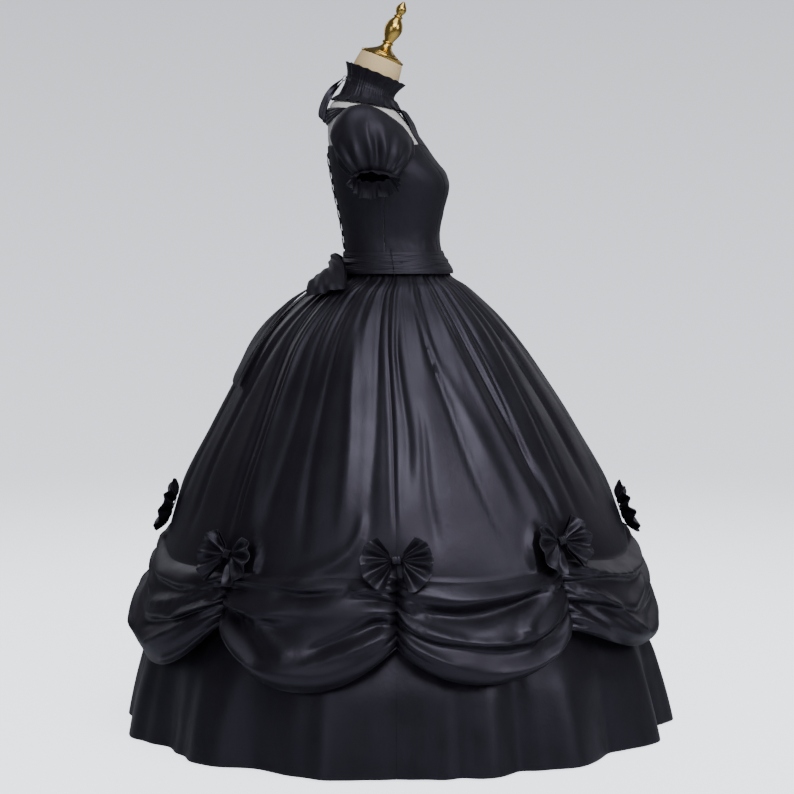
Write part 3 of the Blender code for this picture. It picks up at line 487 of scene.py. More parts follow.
def smooth(table, at, column):
    """A table's column on a smooth curve through its rows, which rise in their first column."""
    stops = np.array([row[0] for row in table], float)
    values = np.array([getattr(row, column) for row in table], float)
    index = np.arange(len(stops))
    before, after = np.maximum(index - 1, 0), np.minimum(index + 1, len(stops) - 1)
    slopes = (values[after] - values[before]) / (stops[after] - stops[before])
    at = np.clip(at, stops[0], stops[-1])
    low = np.clip(np.searchsorted(stops, at, side="right") - 1, 0, len(stops) - 2)
    span = stops[low + 1] - stops[low]
    t = (at - stops[low]) / span
    rise = (2 * t**3 - 3 * t**2 + 1) * values[low] + (3 * t**2 - 2 * t**3) * values[low + 1]
    return rise + span * ((t**3 - 2 * t**2 + t) * slopes[low] + (t**3 - t**2) * slopes[low + 1])


def mix(a, b, share):
    return a + (b - a) * share


def ease(share):
    share = np.clip(share, 0.0, 1.0)
    return share * share * (3 - 2 * share)


def bell(distance, width):
    return np.exp(-((distance / width) ** 2))


def from_angle(angle, other):
    """The shortest turn from one direction to another."""
    return (angle - other + np.pi) % FULL_TURN - np.pi


def points(x, y, z):
    return np.stack(np.broadcast_arrays(x, y, z), -1).astype(float)


def unit(vectors):
    return vectors / np.maximum(np.linalg.norm(vectors, axis=-1, keepdims=True), 1e-12)


def column_of(values):
    """One value a row of a grid."""
    return np.asarray(values, float)[:, None]


def uneven(u, v, seed=0.0):
    """A soft, uneven wave of two coordinates, between about -1 and 1."""
    first = np.sin(1.7 * u + 2.3 * v + seed) + np.sin(2.9 * u - 1.1 * v + 2.1 * seed + 1.0)
    return (first + np.sin(0.9 * u + 3.7 * v + 0.7 * seed + 2.0) + np.sin(4.3 * u + 1.9 * v - seed)) / 2.6


def outward(angle):
    return points(np.sin(angle), -np.cos(angle), 0.0)


def times(vectors, amount):
    """Vectors scaled by a grid of amounts."""
    return np.asarray(vectors) * np.asarray(amount, float)[..., None]


def mirrored(grid):
    """The same piece for the wearer's left side."""
    return grid[:, ::-1] * np.array((-1.0, 1.0, 1.0))


def edged(count, edge):
    """Shares from 0 to 1 with a few close together at each end, where an edge is rolled in."""
    ends = np.array((0.0, 0.25, 0.6, 1.0)) * edge
    return np.concatenate((ends, np.linspace(edge, 1 - edge, count)[1:-1], 1 - ends[::-1]))


# Meshes


def sewn(name, grids, closed):
    """One mesh from grids of points, with its own cloth coordinates in metres."""
    vertices, faces, flat = [], [], []
    start = 0
    for grid in grids:
        rows, columns = grid.shape[:2]
        wrapped = np.concatenate((grid, grid[:, :1]), 1) if closed else grid
        u = np.concatenate(([0.0], np.cumsum(np.linalg.norm(np.diff(wrapped, axis=1), axis=-1).mean(0))))
        v = np.concatenate(([0.0], np.cumsum(np.linalg.norm(np.diff(grid, axis=0), axis=-1).mean(1))))
        i, j = np.mgrid[0 : rows - 1, 0 : wrapped.shape[1] - 1]
        corners = [(i, j), (i, j + 1), (i + 1, j + 1), (i + 1, j)]
        faces.append(np.stack([start + a * columns + b % columns for a, b in corners], -1).reshape(-1, 4))
        flat.append(np.stack([np.stack((u[b], v[a]), -1) for a, b in corners], -2).reshape(-1, 2))
        vertices.append(grid.reshape(-1, 3))
        start += rows * columns
    mesh = bpy.data.meshes.new(name)
    mesh.from_pydata(np.concatenate(vertices).tolist(), [], np.concatenate(faces).tolist())
    layer = mesh.uv_layers.new(name="cloth")
    layer.data.foreach_set("uv", np.concatenate(flat).ravel())
    made = bpy.data.objects.new(name, mesh)
    bpy.context.scene.collection.objects.link(made)
    return made


def only(piece):
    """Makes one piece the selected and active one."""
    bpy.ops.object.select_all(action="DESELECT")
    piece.select_set(True)
    bpy.context.view_layer.objects.active = piece


def dressed(piece, material, stands_for):
    """Gives a finished piece its material and its body, and hides the imported parts that it stands for."""
    piece.data.materials.clear()
    piece.data.materials.append(material)
    piece.data.shade_smooth()
    piece.data.set_sharp_from_angle(angle=SOFT_EDGE)
    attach(piece, "root")
    if stands_for:
        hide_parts(*stands_for)
    return piece


def thickened(piece, thickness):
    only(piece)
    bpy.ops.object.modifier_add(type="SOLIDIFY")
    modifier = piece.modifiers[-1]
    modifier.thickness = thickness
    modifier.offset = -1.0
    bpy.ops.object.modifier_apply(modifier=modifier.name)
    return piece


def cut_of(grids, closed):
    """The flat cut of a gathered or folded sheet: width, length and area, measured along the cloth."""
    width = length = area = 0.0
    for grid in grids:
        wrapped = np.concatenate((grid, grid[:, :1]), 1) if closed else grid
        width = max(width, np.linalg.norm(np.diff(wrapped, axis=1), axis=-1).sum(1).max())
        length += np.linalg.norm(np.diff(grid, axis=0), axis=-1).sum(0).max()
        first = wrapped[1:, 1:] - wrapped[:-1, :-1]
        second = wrapped[1:, :-1] - wrapped[:-1, 1:]
        area += np.linalg.norm(np.cross(first, second), axis=-1).sum() / 2
    return width, length, area


def cloth(
    name, grids, nodes, material, closed=False, thickness=THIN_CLOTH
):
    """A thin shell whose outer side is the grids. Its flat cut is measured, but the result is not used."""
    piece = thickened(sewn(name, grids, closed), thickness)
    dressed(piece, material, nodes)
    width, length, area = cut_of(grids, closed)
    round(min(area, width * length), 4)
    return piece


def faced_out(piece):
    """Turns a closed piece's faces outwards."""
    only(piece)
    bpy.ops.object.mode_set(mode="EDIT")
    bpy.ops.mesh.select_all(action="SELECT")
    bpy.ops.mesh.normals_make_consistent(inside=False)
    bpy.ops.object.mode_set(mode="OBJECT")


def ends_closed(piece):
    """Closes the open end rings of a piece."""
    only(piece)
    bpy.ops.object.mode_set(mode="EDIT")
    bpy.ops.mesh.select_all(action="DESELECT")
    bpy.ops.mesh.select_mode(type="EDGE")
    bpy.ops.mesh.select_non_manifold()
    bpy.ops.mesh.fill_holes(sides=0)
    bpy.ops.object.mode_set(mode="OBJECT")
    faced_out(piece)


def solid(name, grid, material, stands_for):
    """A closed body from closed rings, with its two end rings drawn in and closed."""
    inner = (0.06, 0.25, 0.6, 0.95)
    foot = [mix(grid[0], grid[0].mean(0), s) for s in reversed(inner)]
    top = [mix(grid[-1], grid[-1].mean(0), s) for s in inner]
    rings = np.concatenate((np.array(foot), grid, np.array(top)))
    piece = sewn(name, [rings], True)
    ends_closed(piece)
    return dressed(piece, material, stands_for)


def lathed(name, profile, segments, material, stands_for, tilt=0.0, place=(0.0, 0.0, 0.0)):
    """A turned piece: a disc that is extruded and scaled ring by ring, then tilted and moved into place."""
    bpy.ops.object.select_all(action="DESELECT")
    first = profile[0]
    bpy.ops.mesh.primitive_circle_add(
        vertices=segments, radius=first.radius, fill_type="NGON", location=(0.0, 0.0, first.along)
    )
    piece = bpy.context.object
    piece.name = piece.data.name = name
    bpy.ops.object.transform_apply(location=True, rotation=True, scale=True)
    bpy.ops.object.mode_set(mode="EDIT")
    bpy.ops.mesh.select_all(action="SELECT")
    for below, turn in zip(profile, profile[1:]):
        rise = (0.0, 0.0, turn.along - below.along)
        bpy.ops.mesh.extrude_region_move(TRANSFORM_OT_translate={"value": rise})
        share = turn.radius / below.radius
        bpy.ops.transform.resize(value=(share, share, 1.0), center_override=(0.0, 0.0, turn.along))
    bpy.ops.mesh.select_all(action="SELECT")
    bpy.ops.mesh.normals_make_consistent(inside=False)
    bpy.ops.object.mode_set(mode="OBJECT")
    piece.rotation_euler = (tilt, 0.0, 0.0)
    piece.location = place
    bpy.ops.object.transform_apply(location=True, rotation=True, scale=True)
    dressed(piece, material, stands_for)
    piece.data.set_sharp_from_angle(angle=TURNED_EDGE)
    return piece


def tube(line, radius, sides=8):
    """Closed rings round a line of points: a thread or a rouleau."""
    line = np.asarray(line, float)
    along = unit(np.gradient(line, axis=0))
    side = unit(np.cross(along, np.array((0.31, 0.22, 0.93))))
    third = np.cross(along, side)
    turn = np.linspace(0.0, FULL_TURN, sides, endpoint=False)
    ring = times(side[:, None], np.cos(turn)[None, :]) + times(third[:, None], np.sin(turn)[None, :])
    return line[:, None] + ring * radius


def tubes(name, lines, radius, material, stands_for=(), sides=8):
    """Several short threads as one piece, each closed at its ends."""
    piece = sewn(name, [tube(line, radius, sides) for line in lines], True)
    ends_closed(piece)
    return dressed(piece, material, stands_for)


# The dress form's surface


def bare_form(angle, level):
    columns = [smooth(FORM, level, name) for name in Section._fields[1:]]
    front_y, front_z, back_y, back_z, half_width, squareness = columns
    sine, cosine = np.sin(angle), np.cos(angle)
    reach = (abs(sine) ** squareness + abs(cosine) ** squareness) ** (-1 / squareness)
    lean = cosine * reach
    cups = sum(bell(from_angle(angle, side * BUST_ANGLE), 0.36) for side in (-1, 1))
    rise = BUST_RISE * cups * bell(level - BUST_LEVEL, 0.045)
    x = half_width * sine * reach + sine * rise
    y = (front_y + back_y) / 2 + (front_y - back_y) / 2 * lean - cosine * rise
    return points(x, y, (front_z + back_z) / 2 + (front_z - back_z) / 2 * lean)


def on_form(angle, level, lift):
    """Points this far off the form's surface."""
    angle, level = np.broadcast_arrays(np.asarray(angle, float), np.asarray(level, float))
    step = 0.002
    along = bare_form(angle + step, level) - bare_form(angle - step, level)
    up = bare_form(angle, level + step) - bare_form(angle, level - step)
    return bare_form(angle, level) + times(unit(np.cross(along, up)), lift)


def build_form(context):
    settings = context.scene.gown_form
    angles = np.linspace(0.0, FULL_TURN, 128, endpoint=False)[None, :]
    levels = column_of(np.linspace(FORM_BOTTOM, NECK_SEAM - SEAM_GAP, 90))
    centre_seam = 0.0005 * (bell(from_angle(angles, 0.0), 0.012) + bell(from_angle(angles, math.pi), 0.010))
    side_seam = 0.0005 * sum(bell(from_angle(angles, side * FORM_SEAM), 0.012) for side in (-1, 1))
    inset = np.where(levels < PRINCESS_NECKLINE, FORM_INSET, 0.2 * FORM_INSET) + centre_seam + side_seam
    jersey = knit_material("form_jersey", settings.jersey_colour)
    torso = solid("torso_jersey", on_form(angles, levels, -inset), jersey, ["form_torso"])
    levels = column_of(np.linspace(NECK_SEAM, CAP_HEIGHT, 44))
    rounding = 0.0012 * bell(levels - CAP_HEIGHT, 0.0016) + 0.0010 * bell(levels - NECK_SEAM, 0.0012)
    linen = linen_material("form_linen", settings.linen_colour)
    skin = on_form(angles, levels, -0.0002 - rounding)
    neck = solid("neck_linen", skin, linen, ["form_neck"])


def build_stand(context):
    settings = context.scene.gown_form
    gold = gold_material("gold_finial", settings.gold_colour)
    steel = steel_material("stand_steel", settings.steel_colour)
    lathed("finial", FINIAL, 56, gold, ["form_finial"], NECK_TILT, CAP_CENTRE)
    low, high = BASE_HEIGHT + SEAM_GAP, FORM_BOTTOM - SEAM_GAP
    pole = [Turn(low, POLE_RADIUS - 0.001), Turn(low + 0.001, POLE_RADIUS), Turn(high - 0.001, POLE_RADIUS)]
    lathed("pole", [*pole, Turn(high, POLE_RADIUS - 0.001)], 40, steel, ["stand_pole"])
    rim = [Turn(0.0, BASE_RADIUS - 0.0015), Turn(0.0015, BASE_RADIUS), Turn(0.0075, BASE_RADIUS)]
    slope = [Turn(0.0095, BASE_RADIUS - 0.002), Turn(BASE_HEIGHT - 0.0008, BASE_RADIUS - 0.012)]
    plate = [*rim, *slope, Turn(BASE_HEIGHT, BASE_RADIUS - 0.016), Turn(BASE_HEIGHT + 0.0001, 0.02)]
    lathed("floor_plate", plate, 96, steel, ["stand_base"])


# Bodice


def neckline(angle):
    """Height of the bodice's upper edge: a shallow dip at the front, two peaks, and low under the arms."""
    turn = abs(from_angle(angle, 0.0))
    dip = mix(FRONT_NECKLINE, PRINCESS_NECKLINE, ease(turn / math.radians(36)))
    side = mix(dip, SIDE_NECKLINE, ease((turn - math.radians(40)) / math.radians(40)))
    return mix(side, BACK_NECKLINE, ease((turn - math.radians(105)) / math.radians(45)))


TORSO_ROWS = (WAIST_SEAM + SEAM_GAP, 1.090, 1.130, 1.175, 1.210, 1.242, 1.270)


def bodice_level(angle, share):
    """The level of a share of the way up the bodice, on the rows that the solids have."""
    rows = len(TORSO_ROWS) + 1
    at = share * rows
    low = np.interp(at, np.arange(len(TORSO_ROWS)), TORSO_ROWS)
    return low + np.clip(at - (rows - 2), 0.0, 2.0) / 2 * (neckline(angle) - TORSO_ROWS[-1])


def bodice_panel(edges, columns, thickness, crease=0.0007):
    """A panel with rolled-in edges and the slight drag lines of cloth that is stretched over a form."""
    share = column_of(edged(52, 0.02))
    across = edged(columns, 0.03)[None, :]
    start, end = (np.radians(np.interp(share, (0.0, 1.0), pair)) for pair in edges)
    angle = mix(start + SEAM_TURN, end - SEAM_TURN, across)
    level = bodice_level(angle, share)
    from_seam = np.minimum(across, 1 - across) * (end - start) * 0.13
    roll = 0.0008 * bell(from_seam, 0.0018) + 0.0006 * bell(neckline(angle) - level, 0.0018)
    pull = 0.0007 * bell(from_seam, 0.010) * np.sin(level * 420 + 4 * np.sin(level * 37))
    drag = crease * uneven(angle * 5 + level * 14, level * 34 - angle * 3, 1.3) + 0.25 * pull
    waist = 0.0007 * np.sin(angle * 44 + level * 60) * bell(level - WAIST_SEAM, 0.035)
    settled = ease((level - WAIST_SEAM) / 0.02) * ease((neckline(angle) - level) / 0.012)
    return on_form(angle, level, FORM_CLEARANCE + thickness - roll + (abs(drag) + waist) * settled)


def build_bodice(context):
    satin = satin_material(context, "bodice_satin", BODICE_DULLER)
    side, side_foot, seam_foot, seam_top = math.degrees(SIDE_SEAM), 99.5, 26.0, 37.0
    opening = (168.0, 165.0)
    panels = {
        "bodice_front": ((-seam_foot, -seam_top), (seam_foot, seam_top), 56),
        "bodice_side_left": ((seam_foot, seam_top), (side_foot, side), 48),
        "bodice_side_right": ((-side_foot, -side), (-seam_foot, -seam_top), 48),
        "bodice_back_left": ((side_foot, side), opening, 48),
        "bodice_back_right": ((-opening[0], -opening[1]), (-side_foot, -side), 48),
    }
    for node, (start, end, columns) in panels.items():
        cloth(node + "_panel", [bodice_panel((start, end), columns, CLOTH)], [node], satin)
    behind = ((opening[0], opening[1]), (360 - opening[0], 360 - opening[1]))
    grid = bodice_panel(behind, 24, THIN_CLOTH, 0.0002)
    cloth("placket_panel", [grid], ["bodice_placket"], satin, thickness=0.0008)


def lacing_grid(first_side, centre_lift, heights):
    slope = math.atan2(heights[1] - heights[0], 2 * LACING_REACH)
    half_width = LACING_WIDTH / 2
    inner_mitre = half_width / math.sin(slope)
    stations = []
    for k, height in enumerate(heights):
        side = first_side * (-1) ** k
        turn = side * LACING_REACH
        reaches = (LACING_TIP, inner_mitre) if side > 0 else (inner_mitre, LACING_TIP)
        stations.append((turn + reaches[0], height, turn - reaches[1], height, 0.0038))
        if k + 1 < len(heights):
            middle = (height + heights[k + 1]) / 2
            across, rise = half_width * math.sin(slope), side * half_width * math.cos(slope)
            stations.append((across, middle + rise, -across, middle - rise, centre_lift))
    stations = np.array(stations)
    fine = np.linspace(0, len(stations) - 1, 8 * (len(stations) - 1) + 1)
    columns = (np.interp(fine, np.arange(len(stations)), column) for column in stations.T)
    left_x, left_z, right_x, right_z, lift = columns
    share = np.linspace(0.0, 1.0, 7)[None, :]
    x = mix(left_x[:, None], right_x[:, None], share)
    z = mix(left_z[:, None], right_z[:, None], share)
    crown = 0.0005 * (1 - (2 * share - 1) ** 2)
    return on_form(math.pi - np.arcsin(x / BACK_REACH), z, lift[:, None] + THIN_CLOTH + crown)


def build_lacing(context):
    satin = satin_material(context, "ribbon_satin")
    heights = np.linspace(*LACING_SPAN, LACING_ROWS)
    for node, first_side, lift in (("lacing_under", 1, 0.0032), ("lacing_over", -1, 0.0050)):
        grid = lacing_grid(first_side, lift, heights)
        cloth(node + "_ribbon", [grid], [node], satin, thickness=0.0008)
    loops = []
    turn = np.linspace(0.0, math.pi, 13)
    for height in heights:
        for side in (-1, 1):
            x = side * (0.0385 - 0.0065 * np.sin(turn))
            z = height - 0.0058 * np.cos(turn)
            lift = 0.0030 + 0.0022 * np.sin(turn)
            loops.append(on_form(math.pi - np.arcsin(x / BACK_REACH), z, lift))
    tubes("lacing_loops", loops, 0.0015, satin, sides=8)


def build_yoke(context):
    """The halter panel, gathered towards the collar."""
    satin = satin_material(context, "yoke_satin", BODICE_DULLER)
    share = column_of(edged(40, 0.03))
    across = edged(84, 0.015)[None, :]
    half = np.radians(mix(*YOKE_HALF_ANGLES, share))
    angle = mix(-half, half, across)
    low = neckline(angle) + 2.5 * SEAM_GAP
    level = mix(low, COLLAR_FOOT, share)
    tucked = ease((share - 0.93) / 0.07)
    stand = mix(mix(FORM_CLEARANCE + CLOTH, 0.0120, ease((share - 0.35) / 0.55)), 0.0030, tucked)
    wave = np.cos(12 * math.pi * across + 1.1 * np.sin(5 * across))
    fine = np.cos(31 * math.pi * across + 2 * share)
    gather = (0.0016 * wave + 0.0006 * fine) * ease((share - 0.25) / 0.60) * (1 - tucked)
    roll = 0.0006 * bell(np.minimum(across, 1 - across) * 0.11, 0.0018)
    drag = 0.0004 * abs(uneven(across * 9, share * 5, 0.4)) * ease(share * 5)
    grid = on_form(angle, level, stand + gather - roll + drag)
    cloth("yoke_panel", [grid], ["halter_yoke"], satin)


def build_back_band(context):
    """The pleated band across the shoulder blades."""
    satin = satin_material(context, "yoke_satin", BODICE_DULLER)
    share = column_of(edged(46, 0.02))
    turn = np.linspace(-1.0, 1.0, 100)[None, :]
    angle = math.pi + turn * BAND_HALF_ANGLE
    inner = ease((1 - abs(turn)) / 0.75)
    level = mix(mix(*BAND_FOOT, inner), mix(*BAND_TOP, inner), share)
    pleat_place = 4 * share + 0.10 * np.sin(5 * turn + 1) + 0.06 * np.sin(13 * turn)
    pleats = abs(np.sin(math.pi * pleat_place)) ** 0.7
    drop = 0.0005 * uneven(turn * 9, share * 4, 2.2)
    lift = FORM_CLEARANCE + CLOTH + (0.0022 * pleats + drop) * mix(0.45, 1.0, inner) - 0.0003
    cloth("back_band_pleats", [on_form(angle, level, lift)], ["back_band"], satin)


def build_collar(context):
    satin = satin_material(context, "collar_satin", BODICE_DULLER)
    angle = np.linspace(0.0, FULL_TURN, 360, endpoint=False)[None, :]
    lower, upper = np.linspace(COLLAR_FOOT, 1.4560, 18), np.linspace(1.4575, COLLAR_TOP, 30)
    level = column_of(np.concatenate((lower, upper)))
    lift, ruffle = smooth(COLLAR, level, "lift"), smooth(COLLAR, level, "ruffle")
    phase = angle + 0.03 * np.sin(3 * angle + 1) + 0.02 * np.sin(7 * angle)
    wave = np.cos(COLLAR_RUFFLES * phase)
    second = np.cos(2 * COLLAR_RUFFLES * phase + 0.9 + 6 * (level - CASING_LEVEL))
    from_casing = abs(level - CASING_LEVEL)
    gather = 0.0005 * np.cos(61 * angle + 0.7 * np.sin(5 * angle)) * ease(from_casing / 0.004)
    gather = gather * (1 - ease((from_casing - 0.010) / 0.020))
    casing = 0.0006 * (1 - ease((from_casing - 0.0045) / 0.0015))
    rim = 0.0005 * (bell(level - COLLAR_TOP + 0.0007, 0.0010) + bell(level - COLLAR_FOOT - 0.0007, 0.0010))
    full = ruffle * (wave + 0.30 * second * ease(from_casing / 0.02)) + gather + casing + rim
    drop = 0.0010 * np.cos(COLLAR_RUFFLES * phase + 1.4) * ease((level - 1.487) / 0.012)
    grid = on_form(angle, level, lift + THIN_CLOTH + full)
    grid[..., 2] += drop
    cloth("collar_ruffle", [grid], ["collar"], satin, True, 0.0008)

    back, up = np.array((0.0, 1.0, 0.0)), np.array((0.0, -math.sin(NECK_TILT), math.cos(NECK_TILT)))
    middle = on_form(math.pi, CASING_LEVEL, 0.0074)
    grids = [knot_grid(middle, np.array((-1.0, 0.0, 0.0)), up, back, COLLAR_KNOT, 0.6)]
    for side in (-1, 1):
        grids.append(ribbon_grid(RIBBON_LOOP, side, True))
        grids.append(ribbon_grid(RIBBON_TAIL, side, False))
    nodes = ["collar_tie_knot"]
    nodes += [f"collar_tie_{part}_{side}" for part in ("loop", "tail") for side in ("left", "right")]
    satin = satin_material(context, "ribbon_satin")
    cloth("collar_ribbon", grids, nodes, satin, False, 0.0007)


def ribbon_grid(stops, side, returns):
    """A flat ribbon along a smooth line of points: it leaves the knot flat and turns its face to the side."""
    last = stops[-1].at
    fine = np.linspace(0, last, 9 * last + 1)
    x, y, z, width = (smooth(stops, fine, column) for column in ("x", "y", "z", "width"))
    share = np.linspace(-0.5, 0.5, 7)[None, :]
    centre = points(side * x, y, z)[:, None]
    turned = fine / fine[-1]
    turned = ease(4 * (np.minimum(turned, 1 - turned) if returns else turned))[:, None]
    flat, sideways = np.array((1.0, 0.0, 0.25 * side)), np.array((0.30 * side, 0.87 * side, 0.45 * side))
    across = unit(mix(flat, sideways, turned))
    half = times(across[:, None], (width[:, None] * COLLAR_RIBBON) * share)
    curl = np.zeros(half.shape)
    curl[..., 1] = 0.0010 * (1 - (2 * share) ** 2) * np.sin(fine * 1.3)[:, None] ** 2
    return centre + half + curl


# Sleeves


BACKWARDS = np.array((0.0, 1.0, 0.0))


def sleeve_points(turn, stage):
    """The right sleeve: a turn starts on top and runs to the front; stages are armhole 0, cuff 1, frill 2."""
    turn, stage = np.broadcast_arrays(turn, stage)
    armhole_angle = 1.5 * math.pi + ARMHOLE_TURN * np.sin(turn)
    armhole = on_form(armhole_angle, ARMHOLE_LEVEL + ARMHOLE_RISE * np.cos(turn), 0.0043)
    axis, out = np.array((-0.46, 0.0, -0.89)), np.array((-0.89, 0.0, 0.46))
    ring = times(out, np.cos(turn))
    ring = ring - times(BACKWARDS, np.sin(turn))
    cuff_centre = np.array(CUFF_CENTRE) - out * CUFF_SHIFT
    cuff_out, cuff_along = CUFF_DRAWN
    drawn = times(out, cuff_out * np.cos(turn))
    drawn = drawn - times(BACKWARDS, cuff_along * np.sin(turn))
    phase = turn + 0.05 * np.sin(3 * turn + 0.6)
    gather = np.cos(SLEEVE_GATHERS * phase) + 0.35 * np.cos(29 * turn + 1.1)
    past = np.clip(stage - 1.0, 0.0, 1.0)
    hang = FRILL_LENGTH * past * (0.75 - 0.35 * np.cos(turn) + 0.10 * np.sin(2 * turn + 0.5))
    flare = past * (FRILL_FLARE * (1 + 0.35 * np.sin(turn)) + 0.0036 * gather + 0.003 * np.cos(5 * turn + 1))
    frill = cuff_centre + times(axis, hang) + drawn + times(ring, flare)
    top, side = np.maximum(np.cos(turn), 0.0), abs(np.sin(turn))
    flattened = 1 - 0.35 * bell(from_angle(turn, math.radians(50)), 0.55)
    bulge = (PUFF_TOP * top**1.5 + PUFF_SIDE * side**2) * flattened
    inside = np.clip(stage, 0.0, 1.0)
    puff = np.maximum(np.sin(math.pi * inside), 0.0) ** 0.7
    push = times(out, top) + points(0.0, -np.sin(turn), 0.25 * top)
    fullness = 0.0009 * bell(inside, 0.16) + 0.0030 * bell(1 - inside, 0.30)
    deep = 0.0
    for crease in SLEEVE_CREASES:
        aside = from_angle(turn, crease.turn + 0.12 * (inside - 0.5))
        deep = deep + crease.depth * bell(aside, crease.width) * bell(inside - crease.stage, crease.reach)
    deep = deep * ease(inside * 6) * ease((1 - inside) * 10) * np.minimum(1.0, 0.2 + top + side)
    soft = 0.0022 * uneven(turn * 2.2, inside * 6, 0.9) * puff * np.minimum(1.0, top + side)
    reach = gather * fullness * np.minimum(1.0, 0.3 + top + side) + deep + soft
    base = mix(armhole, cuff_centre + drawn, (ease(inside) * 0.55 + inside * 0.45)[..., None])
    body = base + times(push, bulge * puff) + times(ring, reach)
    casing = 0.0008 * bell(stage - 1.0, 0.06)
    return np.where((stage > 1.0)[..., None], frill, body) - times(ring, casing)


def build_sleeves(context):
    satin = satin_material(context, "sleeve_satin", BODICE_DULLER)
    turn = np.linspace(0.0, FULL_TURN, 168, endpoint=False)[None, :]
    stage = np.concatenate((np.linspace(2.0, 1.04, 12), np.linspace(1.0, 0.0, 54)))
    grid = sleeve_points(turn, column_of(stage))
    for side, puff in (("right", grid), ("left", mirrored(grid))):
        cloth(f"sleeve_{side}_puff", [puff], ["sleeve_" + side], satin, True)


# Skirts


def skirt_point(angle, height, out):
    """Points on the skirt's smooth outline, moved straight outwards."""
    angle, height = np.broadcast_arrays(np.asarray(angle, float), np.asarray(height, float))
    front, back, side = (smooth(SKIRT, height, c) for c in ("front", "back", "side"))
    x = side * np.sin(angle)
    y = (back - front) / 2 - (back + front) / 2 * np.cos(angle)
    waist = on_form(angle, WAIST_SEAM, 0.0070)
    waist[..., 2] = height
    settled = ease((WAIST_SEAM - height) / 0.035)[..., None]
    return mix(waist, points(x, y, height), settled) + times(outward(angle), out)


def pick_up_turns():
    """The directions of the pick-ups, all the way round."""
    return np.radians([pick_up.angle for pick_up in PICK_UP_TABLE] + [360.0])


def swag_values(angle):
    """For angles: the swag's index, how far across it they are, and their closeness to its lowest place."""
    starts, turn = pick_up_turns(), np.asarray(angle, float) % FULL_TURN
    index = np.clip(np.searchsorted(starts, turn + 1e-9, side="right") - 1, 0, PICK_UPS - 1)
    across = np.clip((turn - starts[index]) / (starts[index + 1] - starts[index]), 0.0, 1.0)
    lows = np.array([row.low for row in SWAG_TABLE])[index]
    leaning = across ** (math.log(0.5) / np.log(lows))
    return index, across, 1 - abs(2 * leaning - 1)


def from_pick_up(angle):
    """The distance along the cloth from the nearer pick-up."""
    starts = pick_up_turns()
    return np.min([abs(from_angle(angle, start)) for start in starts], axis=0) * PICK_UP_REACH


def between_pick_ups(angle, pick_up_column, swag_column):
    """A height that is a pick-up's own at each end of a swag, and hangs down to the swag's in between."""
    index, across, share = swag_values(angle)
    ends = np.array([getattr(row, pick_up_column) for row in PICK_UP_TABLE])
    middles = np.array([getattr(row, swag_column) for row in SWAG_TABLE])
    hang = 1 - (1 - share) ** 2.2
    return mix(mix(ends[index], ends[(index + 1) % PICK_UPS], across), middles[index], hang)


def pulled_in(share):
    """0 in the gathers at a pick-up, rising soon to 1 in the swag's puff."""
    return (1 - np.exp(-share / GATHER_WIDTH)) / (1 - math.exp(-1 / GATHER_WIDTH))


def fold_phase(angle):
    return angle + 0.045 * np.sin(2 * angle + 0.8) + 0.025 * np.sin(5 * angle)


def skirt_reach(height):
    return smooth(SKIRT, height, "side")


def long_folds(angle, height, depth):
    """How far the gathers, long folds and seams below the waist stand in or out."""
    drop = WAIST_SEAM - height
    start = mix(0.0017, 0.0042, ease(drop / 0.05)) * (1 - ease((drop - 0.08) / 0.22))
    uneven_angle = angle + 0.020 * np.sin(3 * angle + 1) + 0.012 * np.sin(11 * angle)
    crests = 2 * abs(np.sin(WAIST_GATHERS / 2 * uneven_angle + 0.79)) ** 0.6 - 1.1
    gathers = start * (crests + 0.35 * np.sin(57 * angle + 1.3 + 3 * drop))
    fading = ease(drop / 0.16) * (1 - ease((drop - 0.30) / 0.34))
    total = gathers + 0.0035 * fading * np.sin(LONG_FOLDS * fold_phase(angle))
    for fold in LONG_FOLD_TABLE:
        share = (fold.top_height - height) / (fold.top_height - fold.foot_height)
        line = np.radians(mix(fold.top_angle, fold.foot_angle, np.clip(share, -0.4, 1.2)))
        line = line + 0.012 * np.sin(5 * share + fold.top_angle)
        distance = from_angle(angle, line) * skirt_reach(height)
        width = fold.width * mix(0.45, 1.15, np.clip(share, 0.0, 1.0))
        along = ease((share + 0.25) / 0.4) * (1 - ease((share - 0.72) / 0.42))
        total = total + depth * fold.depth * bell(distance, width) * along
    _, _, share = swag_values(angle)
    crest = 0.010 * bell(share, 0.30) * ease((drop - 0.36) / 0.16)
    from_line = from_pick_up(angle) / PICK_UP_REACH * skirt_reach(height)
    seam = -0.0024 * bell(from_line, 0.0042) + 0.0012 * bell(from_line - 0.010, 0.006)
    return total + crest + seam * ease(drop / 0.05) * (1 - ease((drop - 0.50) / 0.06))


def crossing_folds(angle, height, depth):
    """How far the folds across the swags stand in or out. The left side mirrors them, a little shifted."""
    total = np.zeros(height.shape)
    share = np.linspace(0.0, 1.0, 21)
    weights = np.stack(((1 - share) * (1 - 2 * share), 4 * share * (1 - share), share * (2 * share - 1)))
    fade = ease(share / 0.22) * ease((1 - share) / 0.22)
    for number, fold in enumerate(CROSSING_FOLDS):
        for side in (1, -1):
            shift = 0.0 if side > 0 else 1.6 * math.sin(2.1 * number)
            angles = np.radians([side * a + shift for a in (fold.start, fold.middle, fold.end)])
            heights = np.array((fold.start_height, fold.middle_height, fold.end_height)) - 0.002 * shift
            line_angle, line_height = angles @ weights, heights @ weights
            near = np.flatnonzero(abs(from_angle(angle[0], angles[1])) < np.ptp(angles) / 2 + 0.16)
            across = from_angle(angle[:, near, None], line_angle) * PICK_UP_REACH
            away = np.hypot(across, height[:, near, None] - line_height)
            nearest = away.argmin(-1)
            size = fold.depth * (1.0 if side > 0 else 0.9)
            total[:, near] += size * bell(away.min(-1), fold.width) * fade[nearest]
    return total * depth


